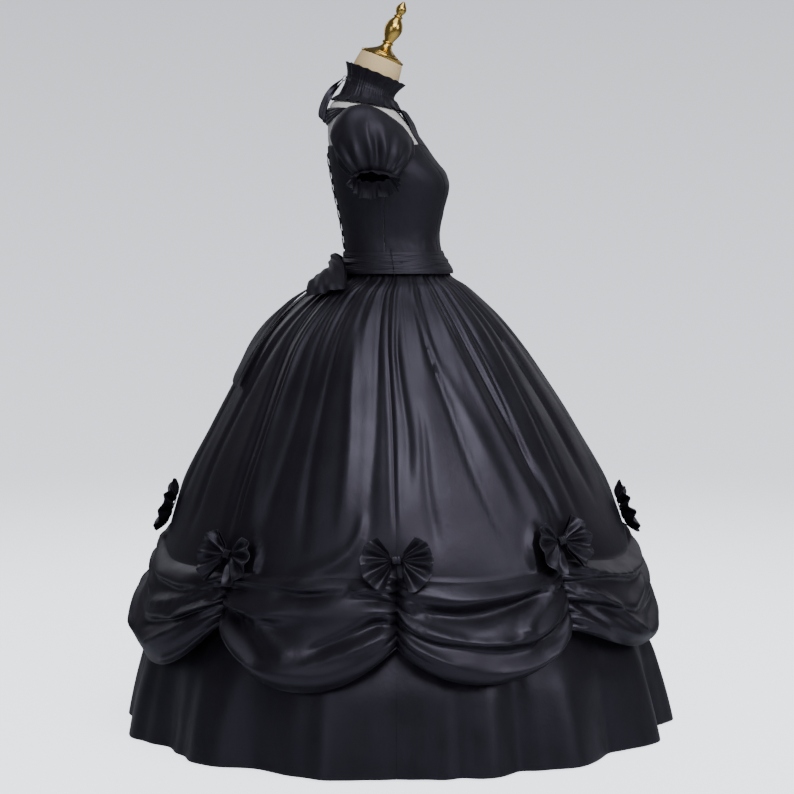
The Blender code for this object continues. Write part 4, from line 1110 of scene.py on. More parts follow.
def ruching(angle, along, depth):
    """Small ridges across the drawn-in line of each pick-up, and the fans of folds that spread from them."""
    index, across, _ = swag_values(angle)
    nearest = (index + (across > 0.5)) % PICK_UPS
    arc = from_pick_up(angle)
    side = np.where(across > 0.5, 1.0, -1.0)
    phase = 0.9 * nearest + 4.0 * side * arc
    wave = np.sin(math.pi * (7.2 * along + 0.23 * nearest) + phase)
    ridges = (2 * abs(wave) ** 0.8 - 1.1) * np.exp(-arc / 0.030) * 0.0060
    fan = np.sin(FULL_TURN * 4.4 * along + phase + 12 * arc) * np.exp(-arc / 0.070)
    fan = fan * ease(arc / 0.025) * 0.0055
    drawn = -0.007 * bell(arc, 0.008)
    ends = ease(along / 0.05) * ease((1 - along) / 0.05)
    return (depth * (ridges + fan) + drawn) * ends


def swag_lines(angle):
    """Height and outward reach of the lines that the swags' folds follow, from the top one to the edge."""
    index, _, share = swag_values(angle)
    top = between_pick_ups(angle, "gather_top", "top")
    foot = between_pick_ups(angle, "gather_foot", "edge")
    open_share = pulled_in(share)
    heights, outs = [], []
    for k, line in enumerate(SWAG_LINES):
        places = np.array([(0.0, *swag[3:], 1.0)[k] for swag in SWAG_TABLE])[index]
        down = mix(k / (len(SWAG_LINES) - 1), places, open_share)
        uneven_line = math.sin(math.pi * k / (len(SWAG_LINES) - 1))
        wander = 0.006 * np.sin(3 * angle + 1.9 * k) + 0.004 * np.sin(11 * angle + 0.8 * k)
        heights.append(mix(top, foot, down) + (wander * uneven_line - line.sag) * open_share)
        size = 1 + 0.22 * np.sin(5 * angle + 2.3 * k) * uneven_line
        outs.append(mix(line.gather_out, line.middle_out * size, open_share))
    return np.array(heights), np.array(outs)


def curved_between(values, at):
    """A smooth curve through the rows of values, at places counted in rows."""
    last = len(values) - 1
    low = np.clip(at.astype(int), 0, last - 1)
    t = (at - low)[:, None]
    before, start = values[np.maximum(low - 1, 0)], values[low]
    end, after = values[low + 1], values[np.minimum(low + 2, last)]
    first, second = (end - before) / 2, (after - start) / 2
    rise = (2 * t**3 - 3 * t**2 + 1) * start + (3 * t**2 - 2 * t**3) * end
    return rise + (t**3 - 2 * t**2 + t) * first + (t**3 - t**2) * second


def overskirt_grid(context):
    """The overskirt's outer side, from its tucked lower edge up to the waist, all the way round."""
    settings = context.scene.gown_cloth
    starts, each = pick_up_turns(), SKIRT_COLUMNS // PICK_UPS
    part = np.arange(each) / each
    part = part - 0.5 * np.sin(FULL_TURN * part) / FULL_TURN
    angle = np.concatenate([mix(a, b, part) for a, b in zip(starts, starts[1:])])
    heights, outs = swag_lines(angle)
    open_share = pulled_in(swag_values(angle)[2])
    angle = angle[None, :]

    along = np.linspace(1.0, 0.0, SWAG_ROW_COUNT)
    places = along * (len(SWAG_LINES) - 1)
    height, out = curved_between(heights, places), curved_between(outs, places)
    along = column_of(along)
    inner = ease(along / 0.08) * ease((1 - along) / 0.06)
    folds = crossing_folds(angle, height, settings.fold_depth) * ease((1 - along) / 0.06)
    wander = 0.0030 * uneven(angle * 7, along * 7, 0.5) * open_share * inner
    out = out + ruching(angle, along, settings.ruching_depth) + wander + folds
    swag = skirt_point(angle, height, out)

    rows = column_of(np.linspace(1.0, 0.0, UPPER_ROW_COUNT)[1:] ** 1.25)
    height = mix(WAIST_SEAM, heights[0], rows)
    blend = ease((rows - 0.80) / 0.20)
    out = mix(long_folds(angle, height, settings.fold_depth), outs[0], blend)
    near_swag = ease((rows - 0.45) / 0.2)
    folds = crossing_folds(angle, height, settings.fold_depth) * near_swag
    return np.concatenate((swag, skirt_point(angle, height, out + folds)))


def halves(grid):
    """Cuts a closed skirt at its side seams into a back, and a front whose edges are turned in behind."""
    quarter = grid.shape[1] // 4
    for suffix, first in (("back", quarter), ("front", 3 * quarter)):
        half = np.take(grid, np.arange(first, first + 2 * quarter + 1), axis=1, mode="wrap").copy()
        half[:, 0] += unit(half[:, 1] - half[:, 0]) * SEAM_GAP / 2
        half[:, -1] += unit(half[:, -2] - half[:, -1]) * SEAM_GAP / 2
        if suffix == "front":
            inwards = points(-np.sign(half[:, [0, -1], 0]), 0.0, 0.0) * SEAM_ALLOWANCE
            past = unit(half[:, [0, -1]] - half[:, [1, -2]]) * SEAM_ALLOWANCE
            turned = half[:, [0, -1]] + inwards * 0.7
            tucked = turned + past
            half = np.concatenate((tucked[:, :1], turned[:, :1], half, turned[:, 1:], tucked[:, 1:]), 1)
        yield suffix, half


def build_overskirt(context):
    satin = satin_material(context, "overskirt_satin")
    for suffix, half in halves(overskirt_grid(context)):
        node = "overskirt_" + suffix
        cloth(node + "_swags", [half], [node], satin)


def underskirt_point(angle, height):
    """The underskirt: fluted at the hem, and close to the form at the waist, where it doesn't show."""
    angle, height = np.broadcast_arrays(np.asarray(angle, float), np.asarray(height, float))
    settle = 1 - ease(height / 0.36)
    depth = HEM_FLUTE_DEPTH * settle * (0.75 + 0.25 * np.cos(3 * angle + 1))
    flute = depth * np.cos(HEM_FLUTES * fold_phase(angle) + 0.5)
    for row in HEM_FLUTE_TABLE:
        aside = from_angle(angle, math.radians(row.angle))
        flute = flute + row.depth * settle * bell(aside, math.radians(row.width))
    fine = 0.0012 * np.sin(53 * angle + 2 * np.sin(4 * angle)) * settle
    skirt = skirt_point(angle, height, flute + fine - 0.003 - UNDERSKIRT_INSET * ease((height - 0.16) / 0.13))
    hidden = mix(on_form(angle, np.maximum(height, 0.9), 0.0), skirt_point(angle, height, 0.0), 0.25)
    waist = on_form(angle, WAIST_SEAM, FORM_CLEARANCE + CLOTH)
    skirt = mix(skirt, hidden, np.clip((height - 0.290) / 0.710, 0.0, 1.0)[..., None])
    return mix(skirt, waist, np.clip((height - 1.0) / 0.05, 0.0, 1.0)[..., None])


def build_underskirt(context):
    satin = satin_material(context, "underskirt_satin")
    angle = np.linspace(0.0, FULL_TURN, SKIRT_COLUMNS, endpoint=False)[None, :]
    turned = HEM_HEIGHT + np.array((0.0, 0.0008, 0.002))
    shown, hidden = np.linspace(0.010, 0.30, 30), np.linspace(0.34, WAIST_SEAM, 12)
    heights = column_of(np.concatenate((turned, shown, hidden)))
    grid = underskirt_point(angle, heights)
    grid -= times(outward(angle), 0.0007 * bell(heights - HEM_HEIGHT, 0.0012))
    for suffix, half in halves(grid):
        node = "underskirt_" + suffix
        cloth(node + "_cloth", [half], [node], satin)


# Bows


def knot_grid(centre, along, up, out, size, crease):
    """A band round a bow's middle with rounded edges. Its size is half its width, height and depth."""
    half_width, half_up, half_out = size
    turn = column_of(np.linspace(0.0, FULL_TURN, 40))
    across = np.linspace(-1.0, 1.0, 15)[None, :]
    square = (abs(np.sin(turn)) ** 3 + abs(np.cos(turn)) ** 3) ** (-1 / 3)
    waist = 1 - 0.10 * (1 - across**2) + 0.05 * np.cos(2.5 * math.pi * across + crease)
    rise = half_up * np.sin(turn) * square * waist
    reach = half_out * np.cos(turn) * square * waist
    grid = times(along, half_width * across + 0.0 * turn) + times(up, rise)
    return centre + grid + times(out, reach)


def fan_grids(centre, along, up, out, seed):
    """Two lobes of a bow, each one strip of cloth: pleated out from the knot, folded over, back behind."""
    share = np.linspace(-1.0, 1.0, 45)[None, :]
    turn_fan = share * BOW_FAN_ANGLE
    shown, end, behind = np.linspace(0.0, 0.94, 20), np.linspace(0.96, 1.04, 7), np.linspace(1.06, 2.0, 9)
    strip = column_of(np.concatenate((shown, end, behind)))
    reach = 1 - abs(strip - 1)
    layer = np.clip((strip - 1) / 0.05, -1.0, 1.0)
    round_end = np.sqrt(np.clip(1 - layer**2, 0.0, 1.0))
    scallop = 0.018 * np.cos(4 * math.pi * share + seed)
    edge = BOW_RADIUS * (1 - 0.09 * share - 0.12 * abs(share) ** 3 + scallop)
    radius = mix(0.0045, edge * 0.97, np.clip(reach / 0.97, 0.0, 1.0)) + 0.0020 * round_end
    grids = []
    for side in (-1, 1):
        phase = 4 * math.pi * share + 0.5 * np.sin(3 * share + seed + side)
        pleat = 1 - 2 * abs(np.sin(phase / 2)) ** 1.3
        depth = mix(0.0006, 0.0078, ease(reach * 1.5)) * (1 - 0.35 * ease((reach - 0.7) / 0.3))
        puff = 0.0075 * np.sin(math.pi * np.clip(reach, 0.0, 1.0)) ** 0.8 + 0.0012
        soft = 0.0012 * uneven(share * 4, strip * 4, seed + side)
        z = pleat * depth - layer * puff / 2 + BOW_FLARE * (radius / BOW_RADIUS) ** 2 + soft * reach
        open_turn = (turn_fan - BOW_DROOP) * mix(0.25, 1.0, ease(reach * 3.2))
        x = side * (0.003 + radius * np.cos(open_turn))
        y = radius * np.sin(open_turn) * (1 + 0.03 * math.sin(seed * 3 + side))
        grid = centre + times(along, x) + times(up, y) + times(out, z)
        grids.append(grid if side > 0 else grid[::-1])
    return grids


def bow_frame(index):
    """Where a skirt bow sits: its centre and its own three directions."""
    pick_up = PICK_UP_TABLE[index]
    angle, tip, roll = math.radians(pick_up.angle), math.radians(17), math.radians(pick_up.roll)
    seat = skirt_point(angle, pick_up.bow, float(long_folds(np.array(angle), np.array(pick_up.bow), 0.0)))
    away, aside = outward(angle), points(math.cos(angle), math.sin(angle), 0.0)
    rise = np.array((0.0, 0.0, 1.0))
    up, out = rise * math.cos(tip) - away * math.sin(tip), away * math.cos(tip) + rise * math.sin(tip)
    turned_along = aside * math.cos(roll) + up * math.sin(roll)
    turned_up = up * math.cos(roll) - aside * math.sin(roll)
    return seat + out * 0.0094, turned_along, turned_up, out


def build_skirt_bows(context):
    satin = satin_material(context, "bow_satin")
    for index in range(PICK_UPS):
        centre, along, up, out = bow_frame(index)
        name = f"skirt_bow_{index + 1}"
        grids = fan_grids(centre, along, up, out, 0.7 * index)
        cloth(name + "_fans", grids, [name], satin, False, 0.0007)
        knot = [knot_grid(centre, along, up, out, BOW_KNOT, 0.5 * index)]
        node = f"skirt_bow_knot_{index + 1}"
        cloth(node + "_band", knot, [node], satin, False, 0.0010)


# Sash


def build_sash(context):
    satin = satin_material(context, "sash_satin", BODICE_DULLER)
    angle = np.linspace(0.0, FULL_TURN, 256, endpoint=False)[None, :]
    foot, span = SASH[0].height, SASH[-1].height - SASH[0].height
    height = column_of(edged(50, 0.02) * span + foot)
    share = (height - foot) / span
    wander = 0.05 * np.sin(2 * angle + 0.6) + 0.035 * np.sin(5 * angle + 2) + 0.02 * np.sin(9 * angle)
    fold = abs(np.sin(math.pi * (3.6 * (share + wander * np.sin(math.pi * share)) + 0.15))) ** 0.75
    fine = 0.0004 * np.sin(58 * share + 6 * np.sin(3 * angle)) * np.sin(math.pi * share)
    folds = 0.0021 * fold * np.sin(math.pi * np.clip(share, 0.04, 0.96)) + fine
    lift = smooth(SASH, height, "lift") + CLOTH + folds
    cloth("sash_folds", [on_form(angle, height, lift)], ["sash"], satin, True)
    height = np.linspace(*CARRIER_SPAN, 22)
    stand = smooth(SASH, height, "lift") + CLOTH + 0.0036
    stand[0] = stand[1] - 0.0015
    stand[-1] = 0.0038
    threads = [on_form(side * CARRIER_TURN, height, stand) for side in (-1, 1)]
    nodes = ["sash_carrier_left", "sash_carrier_right"]
    tubes("sash_carriers", threads, 0.0010, satin, nodes)


def sash_tail_grid(side, knot):
    share = column_of(np.linspace(0.0, 1.0, 60))
    across = np.linspace(-1.0, 1.0, 30)[None, :]
    height = mix(*SASH_TAIL_HEIGHTS, share)
    centre = np.radians(mix(*SASH_TAIL_TURNS, share))
    half = mix(*SASH_TAIL_HALVES, ease(share * 1.6)) / skirt_point(math.pi, height, 0.0)[..., 1]
    angle = math.pi - side * (centre + half * across)
    out = mix(0.014, 0.0185, ease(share * 4)) + 0.003 * np.sin(7 * share + 2 * across)
    folds = 0.0040 * np.cos(2.4 * math.pi * across + 0.8) * (1 - ease((share - 0.15) / 0.75))
    tail = skirt_point(angle, height - 0.012 * across * share, out + folds * ease(share * 5))
    top = knot + points(side * (0.0065 + 0.004 * across), 0.001, -0.0232)
    rise = np.linspace(0.0, 1.0, 8)[:, None, None]
    joined = np.concatenate((mix(top, tail[0], rise)[:-1], tail))[::-1]
    return joined if side < 0 else joined[:, ::-1]


def sash_loop_grid(side, knot):
    """A drooping loop: a strip out from the knot and back, gathered where it goes in."""
    start = knot + np.array((side * 0.0150, 0.0, 0.0))
    end = np.array(SASH_LOOP_END) * (side, 1.0, 1.0)
    start_width = unit(np.array((0.0, 0.10, 1.0)))
    end_width = unit(np.array(SASH_LOOP_WIDTH) * (side, 1.0, 1.0))
    out, fold, back = np.linspace(0.0, 0.95, 26), np.linspace(0.965, 1.035, 7), np.linspace(1.05, 2.0, 26)
    strip = np.concatenate((out, fold, back))
    share = 1 - abs(strip - 1)
    layer = np.clip((1 - strip) / 0.04, -1.0, 1.0)[:, None]
    centre = mix(start, end, share[:, None]) + points(0.0, 0.0, 0.012 * np.sin(math.pi * share))
    width = unit(mix(start_width, end_width, ease(share * 1.25)[:, None]))
    normal = unit(np.cross(end - start, width)) * side
    w = np.linspace(-1.0, 1.0, 34)[None, :]
    gathered = ((1 - ease(share * 1.15)) * ease(share * 8))[:, None]
    gather = 0.0036 * np.cos(3.4 * math.pi * w + 0.6 * side) * gathered
    droop = 0.0030 * uneven(3 * w, 4 * strip[:, None], 0.6 + side) * share[:, None]
    full = smooth(LOOP, share, "fullness")[:, None] * layer * mix(1.0, 0.55, abs(w) ** 3) + gather + droop
    half_width = smooth(LOOP, share, "half_width")[:, None]
    grid = centre[:, None] + times(width[:, None], half_width * w) + times(normal[:, None], full)
    return grid if side > 0 else grid[:, ::-1]


def build_sash_bow(context):
    satin = satin_material(context, "sash_satin", BODICE_DULLER)
    knot = on_form(math.pi, 1.064, 0.0262)
    along, up, out = -np.eye(3)[0], np.eye(3)[2], np.eye(3)[1]
    band = [knot_grid(knot, along, up, out, SASH_KNOT, 0.4)]
    cloth("sash_knot_band", band, ["sash_bow_knot"], satin, False, 0.0014)
    for side, suffix in ((-1, "right"), (1, "left")):
        loop, tail = f"sash_bow_loop_{suffix}", f"sash_bow_tail_{suffix}"
        cloth(loop + "_cloth", [sash_loop_grid(side, knot)], [loop], satin)
        grid = sash_tail_grid(side, knot)
        cloth(tail + "_cloth", [grid], [tail], satin)


# Stitching


def stitches(line, out):
    """Small raised stitches along a closed or open line of points."""
    steps = np.linalg.norm(np.diff(line, axis=0), axis=-1)
    run = np.concatenate(([0.0], np.cumsum(steps)))
    at = np.arange(STITCH_SPACING, run[-1] - STITCH_SPACING, STITCH_SPACING)

    def placed_at(places, values):
        return np.stack([np.interp(places, run, values[:, k]) for k in range(3)], -1)

    middle, normal = placed_at(at, line), unit(placed_at(at, out))
    along = unit(placed_at(at + STITCH_SPACING / 3, line) - middle)
    side = np.cross(normal, along)
    reach, wide, high = along * (STITCH_LENGTH / 2), side * (STITCH_WIDTH / 2), normal * STITCH_HEIGHT
    return [middle + corner for corner in (reach, wide, -reach, -wide)], middle + high, middle - high


def build_stitching(context):
    thread = thread_material("black_thread", context.scene.gown_cloth.satin_colour)
    around = np.linspace(0.0, FULL_TURN, 720)
    seams = []
    for level in (CASING_LEVEL - CASING_HALF, CASING_LEVEL + CASING_HALF):
        lift = smooth(COLLAR, level, "lift") + THIN_CLOTH + 0.0012
        seams.append((on_form(around, level, lift), outward(around)))
    hem = underskirt_point(around, HEM_HEIGHT + 0.022)
    seams.append((hem + outward(around) * THREAD_STAND, outward(around)))
    cuff = sleeve_points(around[None, :], np.array([[1.0]]))[0]
    for side in (1.0, -1.0):
        centre = np.array(CUFF_CENTRE) * (side, 1.0, 1.0)
        line = cuff * (side, 1.0, 1.0)
        away = unit(line - centre)
        seams.append((line + away * THREAD_STAND, away))
    for first, last in NECKLINE_STITCHES:
        angle = np.radians(np.linspace(first, last, 160))
        level = neckline(angle) - 0.006
        seams.append((on_form(angle, level, FORM_CLEARANCE + CLOTH + 0.0005), outward(angle)))
    vertices, faces = [], []
    for line, out in seams:
        ring, high, low = stitches(line, out)
        for k in range(len(high)):
            start = len(vertices)
            vertices += [tuple(corner[k]) for corner in ring] + [tuple(high[k]), tuple(low[k])]
            for a in range(4):
                b = (a + 1) % 4
                faces += [(start + a, start + b, start + 4), (start + b, start + a, start + 5)]
    mesh = bpy.data.meshes.new("stitching")
    mesh.from_pydata(vertices, [], faces)
    piece = bpy.data.objects.new("stitching", mesh)
    bpy.context.scene.collection.objects.link(piece)
    faced_out(piece)
    dressed(piece, thread, ())


# Materials


def fill(tree, socket, value):
    """Gives a node's input a number, a colour or another node's output."""
    if isinstance(value, bpy.types.NodeSocket):
        tree.links.new(value, socket)
    else:
        socket.default_value = value


def wired(tree, node, **values):
    """Fills a node's inputs, whose names have underscores here for their spaces."""
    for label, value in values.items():
        fill(tree, node.inputs[label.replace("_", " ")], value)
    return node


def made(tree, kind, **values):
    return wired(tree, tree.nodes.new("ShaderNode" + kind), **values)


def math_node(tree, operation, first, second=0.0):
    node = tree.nodes.new("ShaderNodeMath")
    node.operation = operation
    for socket, value in zip(node.inputs, (first, second)):
        fill(tree, socket, value)
    return node.outputs["Value"]


def noise(tree, vector, scale, detail=2.0, roughness=0.5):
    node = made(tree, "TexNoise", Vector=vector, Scale=scale, Detail=detail, Roughness=roughness)
    return node.outputs["Fac"]


def bumped(tree, height, distance, strength, **normal):
    node = made(tree, "Bump", Height=height, Distance=distance, Strength=strength, **normal)
    return node.outputs["Normal"]


def ranged(tree, mask, mask_low, mask_high, low, high, smooth_step=False):
    """A range of a mask, spread over a range of values."""
    node = made(tree, "MapRange", Value=mask, From_Min=mask_low, From_Max=mask_high, To_Min=low, To_Max=high)
    if smooth_step:
        node.interpolation_type = "SMOOTHSTEP"
    return node.outputs["Result"]


def between(tree, mask, low, high):
    """A noise's usual range spread over a range of values."""
    return ranged(tree, mask, 0.3, 0.7, low, high)


def tinted(tree, mask, first, second):
    """Two colours mixed by a mask."""
    node = tree.nodes.new("ShaderNodeMix")
    node.data_type = "RGBA"
    return wired(tree, node, A=(*first, 1.0), B=(*second, 1.0), Factor=mask).outputs["Result"]


def scaled(colour, *shares):
    """A colour with its three values scaled, by one share or by three."""
    return tuple(min(value * share, 1.0) for value, share in zip(colour, shares * 3))


def group_of(name, results, **numbers):
    """A new node group that takes a vector and some numbers, with its entry node and its leaving node."""
    group = bpy.data.node_groups.new(name, "ShaderNodeTree")
    sockets = group.interface
    sockets.new_socket(name="Vector", in_out="INPUT", socket_type="NodeSocketVector")
    for label, number in numbers.items():
        sockets.new_socket(name=label, in_out="INPUT", socket_type="NodeSocketFloat").default_value = number
    for label in results:
        sockets.new_socket(name=label, in_out="OUTPUT", socket_type="NodeSocketFloat")
    return group, group.nodes.new("NodeGroupInput"), group.nodes.new("NodeGroupOutput")


def soft_creases():
    """Handled cloth: shallow creases of two sizes, and a mask of where the cloth is a little worn."""
    found = bpy.data.node_groups.get("soft_creases")
    if found:
        return found
    group, entry, leave = group_of("soft_creases", ("Height", "Mask"), Size=14.0, Strength=1.0)
    vector, size, strength = (entry.outputs[label] for label in ("Vector", "Size", "Strength"))
    large = noise(group, vector, size)
    small = noise(group, vector, math_node(group, "MULTIPLY", size, 3.7), roughness=0.55)
    ridged = math_node(group, "ABSOLUTE", math_node(group, "SUBTRACT", small, 0.5))
    height = math_node(group, "ADD", large, math_node(group, "MULTIPLY", ridged, 0.45))
    wired(group, leave, Height=math_node(group, "MULTIPLY", height, strength), Mask=large)
    return group


def woven_threads():
    """Warp and weft: fine streaks along both directions of the cloth."""
    found = bpy.data.node_groups.get("woven_threads")
    if found:
        return found
    group, entry, leave = group_of("woven_threads", ("Height",), Threads=1600.0, Float=5.0)
    split = made(group, "SeparateXYZ", Vector=entry.outputs["Vector"])
    threads = entry.outputs["Threads"]
    shorter = math_node(group, "DIVIDE", threads, entry.outputs["Float"])
    heights = []
    for first, second in ((threads, shorter), (shorter, threads)):
        across = math_node(group, "MULTIPLY", split.outputs["X"], first)
        up = math_node(group, "MULTIPLY", split.outputs["Y"], second)
        join = made(group, "CombineXYZ", X=across, Y=up)
        heights.append(noise(group, join.outputs["Vector"], 1.0, 1.0))
    weft = math_node(group, "MULTIPLY", heights[1], 0.35)
    wired(group, leave, Height=math_node(group, "ADD", heights[0], weft))
    return group


def placed(tree, group, **values):
    node = tree.nodes.new("ShaderNodeGroup")
    node.node_tree = group
    return wired(tree, node, **values)


def new_material(name):
    """A material with its node tree, its shader and the node that gives places on the piece."""
    material = bpy.data.materials.get(name) or bpy.data.materials.new(name)
    material.use_nodes = True
    tree = material.node_tree
    return material, tree, tree.nodes["Principled BSDF"], tree.nodes.new("ShaderNodeTexCoord")


def satin_material(context, name, duller=0.0):
    """Black satin: dark and smooth, with long soft lights, a cool sheen and fine threads."""
    found = bpy.data.materials.get(name)
    if found:
        return found
    settings = context.scene.gown_cloth
    material, tree, shader, place = new_material(name)
    creases = placed(tree, soft_creases(), Vector=place.outputs["Object"], Size=13.0, Strength=1.0)
    threads = placed(tree, woven_threads(), Vector=place.outputs["UV"], Threads=1500.0, Float=6.0)
    worn, rough = creases.outputs["Mask"], settings.satin_roughness + duller
    creased = bumped(tree, creases.outputs["Height"], settings.crease_height, 0.55)
    wired(
        tree,
        shader,
        Base_Color=tinted(tree, worn, settings.satin_colour, scaled(settings.satin_colour, 1.35)),
        Roughness=between(tree, worn, rough - 0.05, rough + 0.06),
        Normal=bumped(tree, threads.outputs["Height"], 0.00006, 0.35, Normal=creased),
        Sheen_Weight=settings.sheen,
        Sheen_Roughness=0.45,
        Sheen_Tint=(*settings.sheen_tint, 1.0),
        Specular_IOR_Level=0.62,
        Specular_Tint=(0.80, 0.76, 1.0, 1.0),
    )
    return material


def knit_material(name, colour):
    """Matt cotton jersey, stretched smooth."""
    material, tree, shader, place = new_material(name)
    threads = placed(tree, woven_threads(), Vector=place.outputs["UV"], Threads=900.0, Float=2.0)
    soft = noise(tree, place.outputs["Object"], 18.0, 3.0)
    wired(
        tree,
        shader,
        Base_Color=tinted(tree, soft, scaled(colour, 0.94), colour),
        Roughness=between(tree, soft, 0.74, 0.86),
        Normal=bumped(tree, threads.outputs["Height"], 0.00025, 0.5),
        Sheen_Weight=0.15,
    )
    return material


def linen_material(name, colour):
    """Plain linen on the neck, with slubs."""
    material, tree, shader, place = new_material(name)
    threads = placed(tree, woven_threads(), Vector=place.outputs["UV"], Threads=1100.0, Float=7.0)
    shade = between(tree, threads.outputs["Height"], 0.0, 1.0)
    soft = noise(tree, place.outputs["Object"], 40.0)
    wired(
        tree,
        shader,
        Base_Color=tinted(tree, shade, scaled(colour, 0.86), colour),
        Roughness=between(tree, soft, 0.78, 0.90),
        Normal=bumped(tree, threads.outputs["Height"], 0.00035, 0.6),
    )
    return material


def worn_material(name, first, second, wear, rough, grain, height, metallic=0.0):
    """A surface with two colours and two roughnesses by one noise, and a fine grain by another."""
    material, tree, shader, place = new_material(name)
    worn = noise(tree, place.outputs["Object"], *wear)
    marks = noise(tree, place.outputs["Object"], *grain)
    wired(
        tree,
        shader,
        Base_Color=tinted(tree, worn, first, second),
        Roughness=between(tree, worn, *rough),
        Normal=bumped(tree, marks, *height),
        Metallic=metallic,
    )
    return material


def thread_material(name, colour):
    """Sewing thread with its twist."""
    twist = (2600.0, 1.0)
    return worn_material(name, colour, scaled(colour, 2.2), twist, (0.50, 0.68), twist, (0.00008, 0.4))


def gold_material(name, colour):
    """Polished gold with faint turning marks and a little tarnish."""
    darker, tarnish, marks = scaled(colour, 0.80, 0.72, 0.55), (60.0, 4.0, 0.6), (420.0, 2.0)
    return worn_material(name, colour, darker, tarnish, (0.13, 0.26), marks, (0.00005, 0.3), 1.0)


def steel_material(name, colour):
    """Satin black paint on steel, scuffed a little."""
    lighter, scuffs, grain = scaled(colour, 1.6), (34.0, 5.0, 0.65), (900.0, 2.0)
    return worn_material(name, colour, lighter, scuffs, (0.32, 0.50), grain, (0.00006, 0.4))


# The studio

FLOOR_RADIUS = 9.0
FLOOR_FADE = (1.1, 5.5)
WALL_RANGE = (-0.26, 0.10)
PHOTO_WIDTH = 794
Lamp = namedtuple("Lamp", "name place aim width height power colour")
LAMPS = table(
    Lamp,
    ("key", (-2.9, -0.9, 3.5), (0.0, 0.0, 0.6), 2.4, 1.7, 76.0, (1.0, 0.985, 1.0)),
    ("side", (-2.3, -3.2, 2.2), (0.0, 0.0, 0.7), 1.2, 2.0, 26.0, (0.98, 0.97, 1.0)),
    ("fill", (-3.8, 1.9, 2.0), (0.0, 0.1, 0.7), 1.8, 2.4, 16.0, (0.92, 0.92, 1.0)),
    ("top", (-0.9, -0.5, 3.9), (0.0, 0.0, 0.8), 1.8, 1.8, 24.0, (0.94, 0.94, 1.0)),
    ("back", (2.4, 1.8, 2.6), (0.0, 0.0, 0.8), 2.0, 2.0, 14.0, (0.92, 0.93, 1.0)),
    ("far", (2.8, -2.2, 2.2), (0.0, 0.0, 0.8), 2.0, 2.4, 9.0, (0.94, 0.94, 1.0)),
)


def build_floor(settings):
    """A floor that fades out into the backdrop."""
    bpy.ops.object.select_all(action="DESELECT")
    bpy.ops.mesh.primitive_circle_add(
        vertices=96, radius=FLOOR_RADIUS, fill_type="NGON", location=(0.0, 0.0, -0.0005)
    )
    floor = bpy.context.object
    floor.name = floor.data.name = "studio_floor"
    bpy.ops.object.transform_apply(location=True, rotation=True, scale=True)
    material, tree, shader, place = new_material("studio_floor")
    length = tree.nodes.new("ShaderNodeVectorMath")
    length.operation = "LENGTH"
    fill(tree, length.inputs[0], place.outputs["Object"])
    seen = tree.nodes.new("ShaderNodeLightPath").outputs["Is Camera Ray"]
    colour = (*settings.floor_colour, 1.0)
    wired(
        tree,
        shader,
        Base_Color=colour,
        Roughness=0.55,
        Alpha=ranged(tree, length.outputs["Value"], *FLOOR_FADE, 1.0, 0.0, smooth_step=True),
        Emission_Strength=math_node(tree, "MULTIPLY", seen, settings.floor_glow),
        Emission_Color=colour,
    )
    floor.data.materials.append(material)


def build_wall(context, settings):
    """A backdrop that the camera sees, and a faint light from all round in its place for the cloth."""
    world = bpy.data.worlds.new("studio")
    context.scene.world = world
    world.use_nodes = True
    tree = world.node_tree
    tree.nodes.clear()
    place = tree.nodes.new("ShaderNodeTexCoord").outputs["Generated"]
    height = made(tree, "SeparateXYZ", Vector=place).outputs["Z"]
    wall = tinted(tree, ranged(tree, height, *WALL_RANGE, 0.0, 1.0), settings.wall_low, settings.wall_high)
    seen = made(tree, "Background", Color=wall)
    unseen = made(tree, "Background", Color=(*settings.wall_high, 1.0), Strength=settings.ambient)
    choose = made(tree, "MixShader", Fac=tree.nodes.new("ShaderNodeLightPath").outputs["Is Camera Ray"])
    tree.links.new(unseen.outputs["Background"], choose.inputs[1])
    tree.links.new(seen.outputs["Background"], choose.inputs[2])
    wired(tree, tree.nodes.new("ShaderNodeOutputWorld"), Surface=choose.outputs["Shader"])


def aimed(context, name, data, place, aim):
    """A lamp or a camera in its place, turned towards its aim."""
    stood = bpy.data.objects.new(name, data)
    stood.location = place
    stood.rotation_euler = (Vector(aim) - Vector(place)).to_track_quat("-Z", "Y").to_euler()
    context.scene.collection.objects.link(stood)
    return stood


def build_stage(context):
    settings = context.scene.gown_stage
    build_floor(settings)
    build_wall(context, settings)
    for lamp in LAMPS:
        light = bpy.data.lights.new(lamp.name, "AREA")
        light.shape = "RECTANGLE"
        light.size, light.size_y = lamp.width, lamp.height
        light.energy = lamp.power * settings.light
        light.color = lamp.colour
        aimed(context, lamp.name, light, lamp.place, lamp.aim)
    camera = bpy.data.cameras.new("camera")
    place = (-settings.camera_distance, settings.camera_side, settings.camera_height)
    aim = (0.0, settings.camera_side, settings.aim_height)
    camera.sensor_width = 36.0
    distance = (Vector(aim) - Vector(place)).length
    camera.lens = settings.pixels_per_metre * distance * camera.sensor_width / PHOTO_WIDTH
    context.scene.camera = aimed(context, "camera", camera, place, aim)


# Settings, operators and panel


def colour(name, description, default):
    return bpy.props.FloatVectorProperty(
        name=name, description=description, subtype="COLOR", size=3, default=default
    )


def number(name, description, default, **kind):
    return bpy.props.FloatProperty(name=name, description=description, default=default, **kind)


